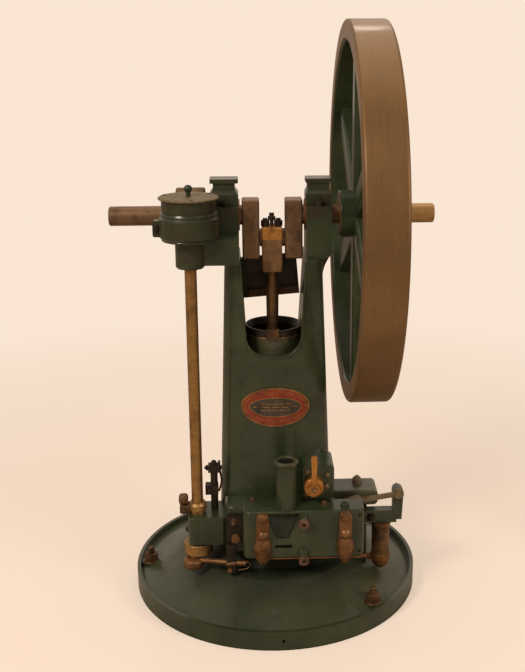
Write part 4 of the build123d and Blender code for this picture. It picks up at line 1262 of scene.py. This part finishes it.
@dataclass
class SlideFittings(Assembly):
    """What rides on the slide."""

    face: float = -0.1713
    screw: NutSize = NutSize(0.013, 0.006, 0.0042, 0.004, 0.009)
    thumb: Profile = (
        (0, 0), (0.0105, 0), (0.0105, 0.003), (0.0075, 0.0045), (0.0075, 0.008),
        (0.0110, 0.0095), (0.0110, 0.0125), (0.0080, 0.0140), (0, 0.0142))
    set_screw: NutSize = NutSize(0.0125, 0.006, 0.0045, 0.005)
    strap: tuple[Point, ...] = (
        (-0.1255, -0.1818, 0.1275), (-0.1140, -0.1818, 0.1283), (-0.1025, -0.1818, 0.1291))
    strap_radius: float = 0.0066
    wire: tuple[Point, ...] = (
        (-0.0790, -0.1880, 0.1360), (-0.0700, -0.1900, 0.1370), (-0.0670, -0.1915, 0.1270),
        (-0.0760, -0.1925, 0.1180), (-0.0960, -0.1915, 0.1160))
    wire_radius: float = 0.0013

    def screws(self) -> None:
        """The steel screw and the bronze thumb nut at the slide's left end."""
        seats = [Way.FRONT.at(-0.1065, self.face, 0.2345, 0.5)]
        self.nuts("slide_screw", self.finishes.steel, Slot.BRIGHT, self.screw, seats, Body.SLIDE)
        thumb = Piece("slide_thumb_nut")
        thumb.lathe(self.thumb, Way.FRONT.at(-0.1015, self.face, 0.1935), 28)
        thumb.dress(self.finishes.bronze, Slot.BRONZE, Body.SLIDE)

    def link_end(self) -> None:
        """The screw and the strap that hold the link in the slide's lug, and the end's wire."""
        seats = [Way.FRONT.at(-0.117, -0.1850, 0.1130, 0.4)]
        finish = self.finishes.bronze
        self.nuts("link_set_screw", finish, Slot.BRONZE, self.set_screw, seats, Body.SLIDE)
        strap = Piece("link_strap")
        strap.tube(self.strap, self.strap_radius, 2)
        strap.dress(self.finishes.steel, Slot.BRIGHT, Body.SLIDE)
        wire = Piece("link_wire")
        wire.tube(self.wire, self.wire_radius)
        wire.dress(self.finishes.steel, Slot.BRIGHT, Body.SLIDE)

    def build(self) -> None:
        """Builds every fitting of the slide."""
        self.screws()
        self.link_end()


@dataclass
class CoverFittings(Assembly):
    """Screws, studs and edges on the slide's cover and chest."""

    face: float = -0.2226
    screw_spots: tuple[Point, ...] = (
        (-0.058, -0.132, 0.2708), (0.040, -0.138, 0.2708), (0.114, -0.185, 0.2848),
        (0.128, -0.140, 0.2708), (0.196, -0.115, 0.2468))
    top_spot: Point = (0.164, -0.199, 0.2848)
    levers: tuple[float, float] = (-0.036, 0.163)
    stud: Profile = (
        (0, 0), (0.0115, 0), (0.0120, 0.003), (0.0100, 0.007), (0.0055, 0.0095), (0, 0.0100))
    knob: Profile = (
        (0, 0), (0.0125, 0), (0.0125, 0.002), (0.0090, 0.0055), (0.0045, 0.008), (0, 0.0083))
    screw: NutSize = NutSize(0.013, 0.006, 0.004, 0.003, 0.0085)
    top_nut: NutSize = NutSize(0.018, 0.009, 0.006, 0.005, 0.012)
    rod: tuple[Point, ...] = (
        (-0.050, -0.2215, 0.1606), (0.080, -0.2215, 0.1602), (0.207, -0.2215, 0.1598))
    rod_radius: float = 0.0017
    flat_head: tuple[float, float] = (0.0045, 0.0022)

    def spring_studs(self) -> None:
        """Studs and rounded nuts on the two spring levers."""
        piece = Piece("spring_lever_studs")
        for x in self.levers:
            piece.lathe(self.stud, Way.FRONT.at(x, self.face - 0.013, 0.274), 28)
            piece.lathe(self.knob, Way.FRONT.at(x, self.face - 0.012, 0.2275), 28)
        piece.dress(self.finishes.bronze, Slot.BRONZE)

    def chest_screws(self) -> None:
        """Bright screws on the tops of the chest and of its cover, and the cover's nut."""
        seats = [Way.UP.at(*spot, spot[0] * 40) for spot in self.screw_spots]
        self.nuts("chest_screws", self.finishes.steel, Slot.BRIGHT, self.screw, seats)
        seats = [Way.UP.at(*self.top_spot, 0.2)]
        self.nuts("cover_top_nut", self.finishes.green, Slot.GREEN, self.top_nut, seats)

    def cover_screws(self) -> None:
        """Flat screws in the corners of the cover."""
        piece = Piece("cover_screws")
        for z in (0.272, 0.178):
            piece.slotted(Way.FRONT.at(0.198, self.face, z, 0.6), *self.flat_head)
        piece.dress(self.finishes.dark, Slot.DARK)

    def edge_rod(self) -> None:
        """The thin rod along the bottom edge of the cover."""
        piece = Piece("cover_rod")
        piece.tube(self.rod, self.rod_radius, 2)
        piece.dress(self.finishes.bronze, Slot.BRONZE)

    def build(self) -> None:
        """Builds every fitting of the cover and the chest."""
        self.spring_studs()
        self.chest_screws()
        self.cover_screws()
        self.edge_rod()


@dataclass
class GasFittings(Assembly):
    """Bolts and nuts round the gas cock and the gas valve."""

    inlet_face: float = -0.166
    inlet_corners: Profile = ((0.074, 0.362), (0.1235, 0.354), (0.1215, 0.324), (0.073, 0.304))
    inlet_bolt: NutSize = NutSize(0.0125, 0.006, 0.004, 0.003)
    cock: tuple[float, float] = (0.0895, 0.329)
    rings: tuple[float, float] = (0.0215, 0.0165)
    cock_nut: NutSize = NutSize(0.013, 0.006, 0.004, 0.004, 0.0085)
    collar: Profile = (
        (0.0215, 0), (0.0248, 0.001), (0.0255, 0.004), (0.0248, 0.007), (0.0215, 0.008))
    collar_foot: Point = (0.265, -0.101, 0.186)
    union: Point = (0.2412, -0.101, 0.096)
    union_nut: NutSize = NutSize(0.0165, 0.010)
    pivot: Point = (0.306, -0.088, 0.276)
    pivot_nut: NutSize = NutSize(0.019, 0.009, 0.006, 0.004, 0.013)
    arm: Point = (0.238, -0.114, 0.211)
    arm_nut: NutSize = NutSize(0.016, 0.007, 0.005, 0.004, 0.011)
    outlet: Point = (0.2077, -0.0560, 0.2808)
    outlet_nut: NutSize = NutSize(0.020, 0.011, 0.006, 0.006, 0.013)
    spade: Profile = (
        (0.1665, 0.2655), (0.1860, 0.2580), (0.2080, 0.2560), (0.2130, 0.2690), (0.2050, 0.2745),
        (0.1850, 0.2705))
    spade_depth: tuple[float, float] = (-0.1235, -0.1145)

    def cock_fittings(self) -> None:
        """Rings on the cock's face, and the nut on its plug, which turns with the lever."""
        x, z = self.cock
        rings = Piece("cock_rings")
        for radius in self.rings:
            half = ((-0.0013, 0), (-0.0009, 0.0010), (0, 0.0015), (0.0009, 0.0010), (0.0013, 0))
            profile = [(radius + out, rise) for out, rise in half]
            rings.lathe(profile, Way.FRONT.at(x, -0.1899, z), 40)
        rings.dress(self.finishes.gold, Slot.BRONZE)
        seats = [Way.FRONT.at(x, -0.1993, z, 0.2)]
        finish = self.finishes.brass
        self.nuts("cock_nut", finish, Slot.BRONZE, self.cock_nut, seats, Body.COCK)

    def valve_rings(self) -> None:
        """The collar of the gas valve and its union nut."""
        piece = Piece("gas_valve_rings")
        piece.lathe(self.collar, Matrix.Translation(self.collar_foot), 48)
        piece.nut(Way.LEFT.at(*self.union, 0.3), self.union_nut)
        piece.dress(self.finishes.bronze, Slot.BRONZE)

    def pivot_nuts(self) -> None:
        """The nut behind the lever's pivot, the arm's bolt and the nut on the exhaust box."""
        piece = Piece("pivot_nut")
        piece.nut(Way.BACK.at(*self.pivot), self.pivot_nut)
        piece.nut(Way.FRONT.at(*self.arm, 0.3), self.arm_nut)
        piece.dress(self.finishes.dark, Slot.DARK)
        seats = [Way.UP.at(*self.outlet, 0.1)]
        self.nuts("outlet_nut", self.finishes.lid, Slot.BRIGHT, self.outlet_nut, seats)

    def lever_spade(self) -> None:
        """The flattened inner end of the valve lever."""
        piece = Piece("lever_spade")
        piece.prism(self.spade, *self.spade_depth, 0.0015, 2)
        piece.dress(self.finishes.lid, Slot.BRIGHT, Body.LEVER)

    def build(self) -> None:
        """Builds every gas fitting."""
        seats = [Way.FRONT.at(x, self.inlet_face, z, x * 9) for x, z in self.inlet_corners]
        # Painted highlight: these bolts are green paint, given the pale finish to show the light on
        # them.
        self.nuts("inlet_bolts", self.finishes.lid, Slot.BRIGHT, self.inlet_bolt, seats)
        self.cock_fittings()
        self.valve_rings()
        self.pivot_nuts()
        self.lever_spade()


@dataclass
class NamePlate(Assembly):
    """Raised borders, beads and screws of the oval plate, which follow the column's bow."""

    shape: PlateShape = PlateShape()
    face: ColumnFront = ColumnFront(0.10413, 0.508)
    ridges: int = 72
    ridge_oval: tuple[float, float] = (0.872, 0.75)
    ridge_half: Point = (0.0056, 0.0006, 0.0007)
    rows: Profile = ((0.008, 0.040), (0.0, 0.060), (-0.008, 0.040))
    screw_at: float = 0.0775
    screw_head: tuple[float, float] = (0.0030, 0.0018)

    def surface(self, x: float, z: float) -> float:
        """Where the plate's face is along Y, at a point's X and Z."""
        return self.face.y(x, z) - self.shape.thickness

    def ring(self, piece: Piece, share: tuple[float, float], width: float, height: float) -> None:
        """Adds a raised oval ring.

        Args:
            piece: the piece that it joins.
            share: the ring's width and height as shares of the plate's.
            width: the ring's width in metres.
            height: how far it stands out in metres.
        """
        bm, shape = piece.bm, self.shape
        made = bmesh.ops.create_circle(bm, cap_ends=False, segments=96, radius=1.0)
        edges = linked(made["verts"])
        loops = [list(made["verts"])]
        outs = ((0.0, 1.0), (1.0, 1.0), (1.0, 0.0), (0.0, 0.0))
        for _ in outs[1:]:
            grown = bmesh.ops.extrude_edge_only(bm, edges=edges)
            edges = only(grown["geom"], bmesh.types.BMEdge)
            loops.append(only(grown["geom"], bmesh.types.BMVert))
        for verts, (step, rise) in zip(loops, outs):
            for vert in verts:
                angle = math.atan2(vert.co.y, vert.co.x)
                x = (shape.half_width * share[0] - width * step) * math.cos(angle)
                high = (shape.half_height * share[1] - width * step) * math.sin(angle)
                z = shape.middle + high
                vert.co = (x, self.surface(x, z) - height * rise + 0.0004 * (1 - rise), z)

    def borders(self) -> None:
        """The raised outer and inner borders."""
        piece = Piece("plate_borders")
        self.ring(piece, (1.0, 1.0), 0.0026, 0.0014)
        across, up = self.shape.inner
        self.ring(piece, (across + 0.02, up + 0.03), 0.0020, 0.0010)
        piece.dress(self.finishes.brass, Slot.BRONZE)

    def raised_work(self) -> None:
        """The ridges round the red field and the plain dashes in the middle."""
        piece, shape = Piece("plate_ridges"), self.shape
        corner = Vector(self.ridge_half)
        for index in range(self.ridges):
            angle = TAU * index / self.ridges
            x = shape.half_width * self.ridge_oval[0] * math.cos(angle)
            z = shape.middle + shape.half_height * self.ridge_oval[1] * math.sin(angle)
            lean = math.atan2(
                math.sin(angle) * shape.half_width, math.cos(angle) * shape.half_height)
            place = Matrix.Translation((x, self.surface(x, z), z)) @ Matrix.Rotation(-lean, 4, "Y")
            piece.box(-corner, corner, 0.0003, 1, place)
        for row, reach in self.rows:
            z = shape.middle + row
            for step in range(-2, 3):
                x, half = step * reach / 2.6, reach * 0.15
                y = self.surface(x, z)
                low, high = (x - half, y - 0.0009, z - 0.0012), (x + half, y + 0.0008, z + 0.0012)
                piece.box(low, high, 0.0004, 1)
        piece.dress(self.finishes.brass, Slot.BRONZE)

    def screws(self) -> None:
        """The two screws that hold the plate."""
        piece, z = Piece("plate_screws"), self.shape.middle
        for x in (-self.screw_at, self.screw_at):
            piece.slotted(Way.FRONT.at(x, self.surface(x, z), z), *self.screw_head)
        piece.dress(self.finishes.brass, Slot.BRONZE)

    def build(self) -> None:
        """Builds the plate's raised work."""
        self.borders()
        self.raised_work()
        self.screws()


@dataclass
class NodeDress:
    """The finish of each CAD node: a finish's name, and the nodes that wear it."""

    wears: tuple[tuple[str, str], ...] = (
        ("green", "side_shaft_bracket valve_chest inlet_box valve_bracket lid_knob"),
        ("oily", "bearing_cap_left bearing_cap_right gear_case"),
        # Painted light: the lighter enamel on the exhaust box.
        ("dusty", "exhaust_box"),
        # Column and base: painted shade under the chest, and dust on the dish.
        ("sheltered", "column base_plate"),
        ("cover", "slide_cover"),
        ("chimney", "chimney"),
        ("bronze", "bearing_bush_left bearing_bush_right spring_lever_left "
                   "spring_lever_right drag_link"),
        ("gold", "big_end_cap gas_cock_body gas_cock_lever"),
        ("dark", "lever_post flywheel_key slide_valve rod_oiler big_end_nuts"),
        ("iron", "gear_hood piston oil_drip_block"),
        ("steel", "gudgeon_pin"),
        ("lid", "gear_case_lid valve_lever lever_pivot_pin"),
        ("forged", "connecting_rod crank_pin"),
        ("brass", "crank_disc side_shaft_gland"),
        ("wheel", "flywheel"),
        ("barrel", "cylinder_barrel"),
        ("guard", "splash_guard"),
        ("plate", "nameplate"),
        ("shaft", "crankshaft"),
        ("upright", "side_shaft"),
        ("stub_upper", "gas_stub_upper"),
        ("stub_lower", "gas_stub_lower"),
        ("valve", "gas_valve"),
    )

    def build(self, nodes: dict[str, bpy.types.Object], finishes: Finishes) -> None:
        """Gives every node its finish.

        Args:
            nodes: the CAD objects by name.
            finishes: the materials.
        """
        table = {
            name: getattr(finishes, finish)
            for finish, names in self.wears for name in names.split()
        }
        for name, node in nodes.items():
            finish = table[name]
            if not node.material_slots:
                node.data.materials.append(finish)
            for place in node.material_slots:
                place.material = finish
            LOG.info("node %s: %s", name, finish.name)


def main() -> None:
    """Builds the scene in order and reports each piece."""
    logging.basicConfig(level=logging.INFO, format="%(name)s %(message)s")
    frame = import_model()
    Studio().build()
    finishes = Finishes()
    NodeDress().build(frame["nodes"], finishes)
    for assembly in (
        Frame, GearCaseFittings, SideShaftFittings, SlideFittings, CoverFittings, GasFittings,
        NamePlate,
    ):
        assembly(finishes).build()
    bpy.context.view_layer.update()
    LOG.info("sizes written")


if __name__ == "__main__":
    main()
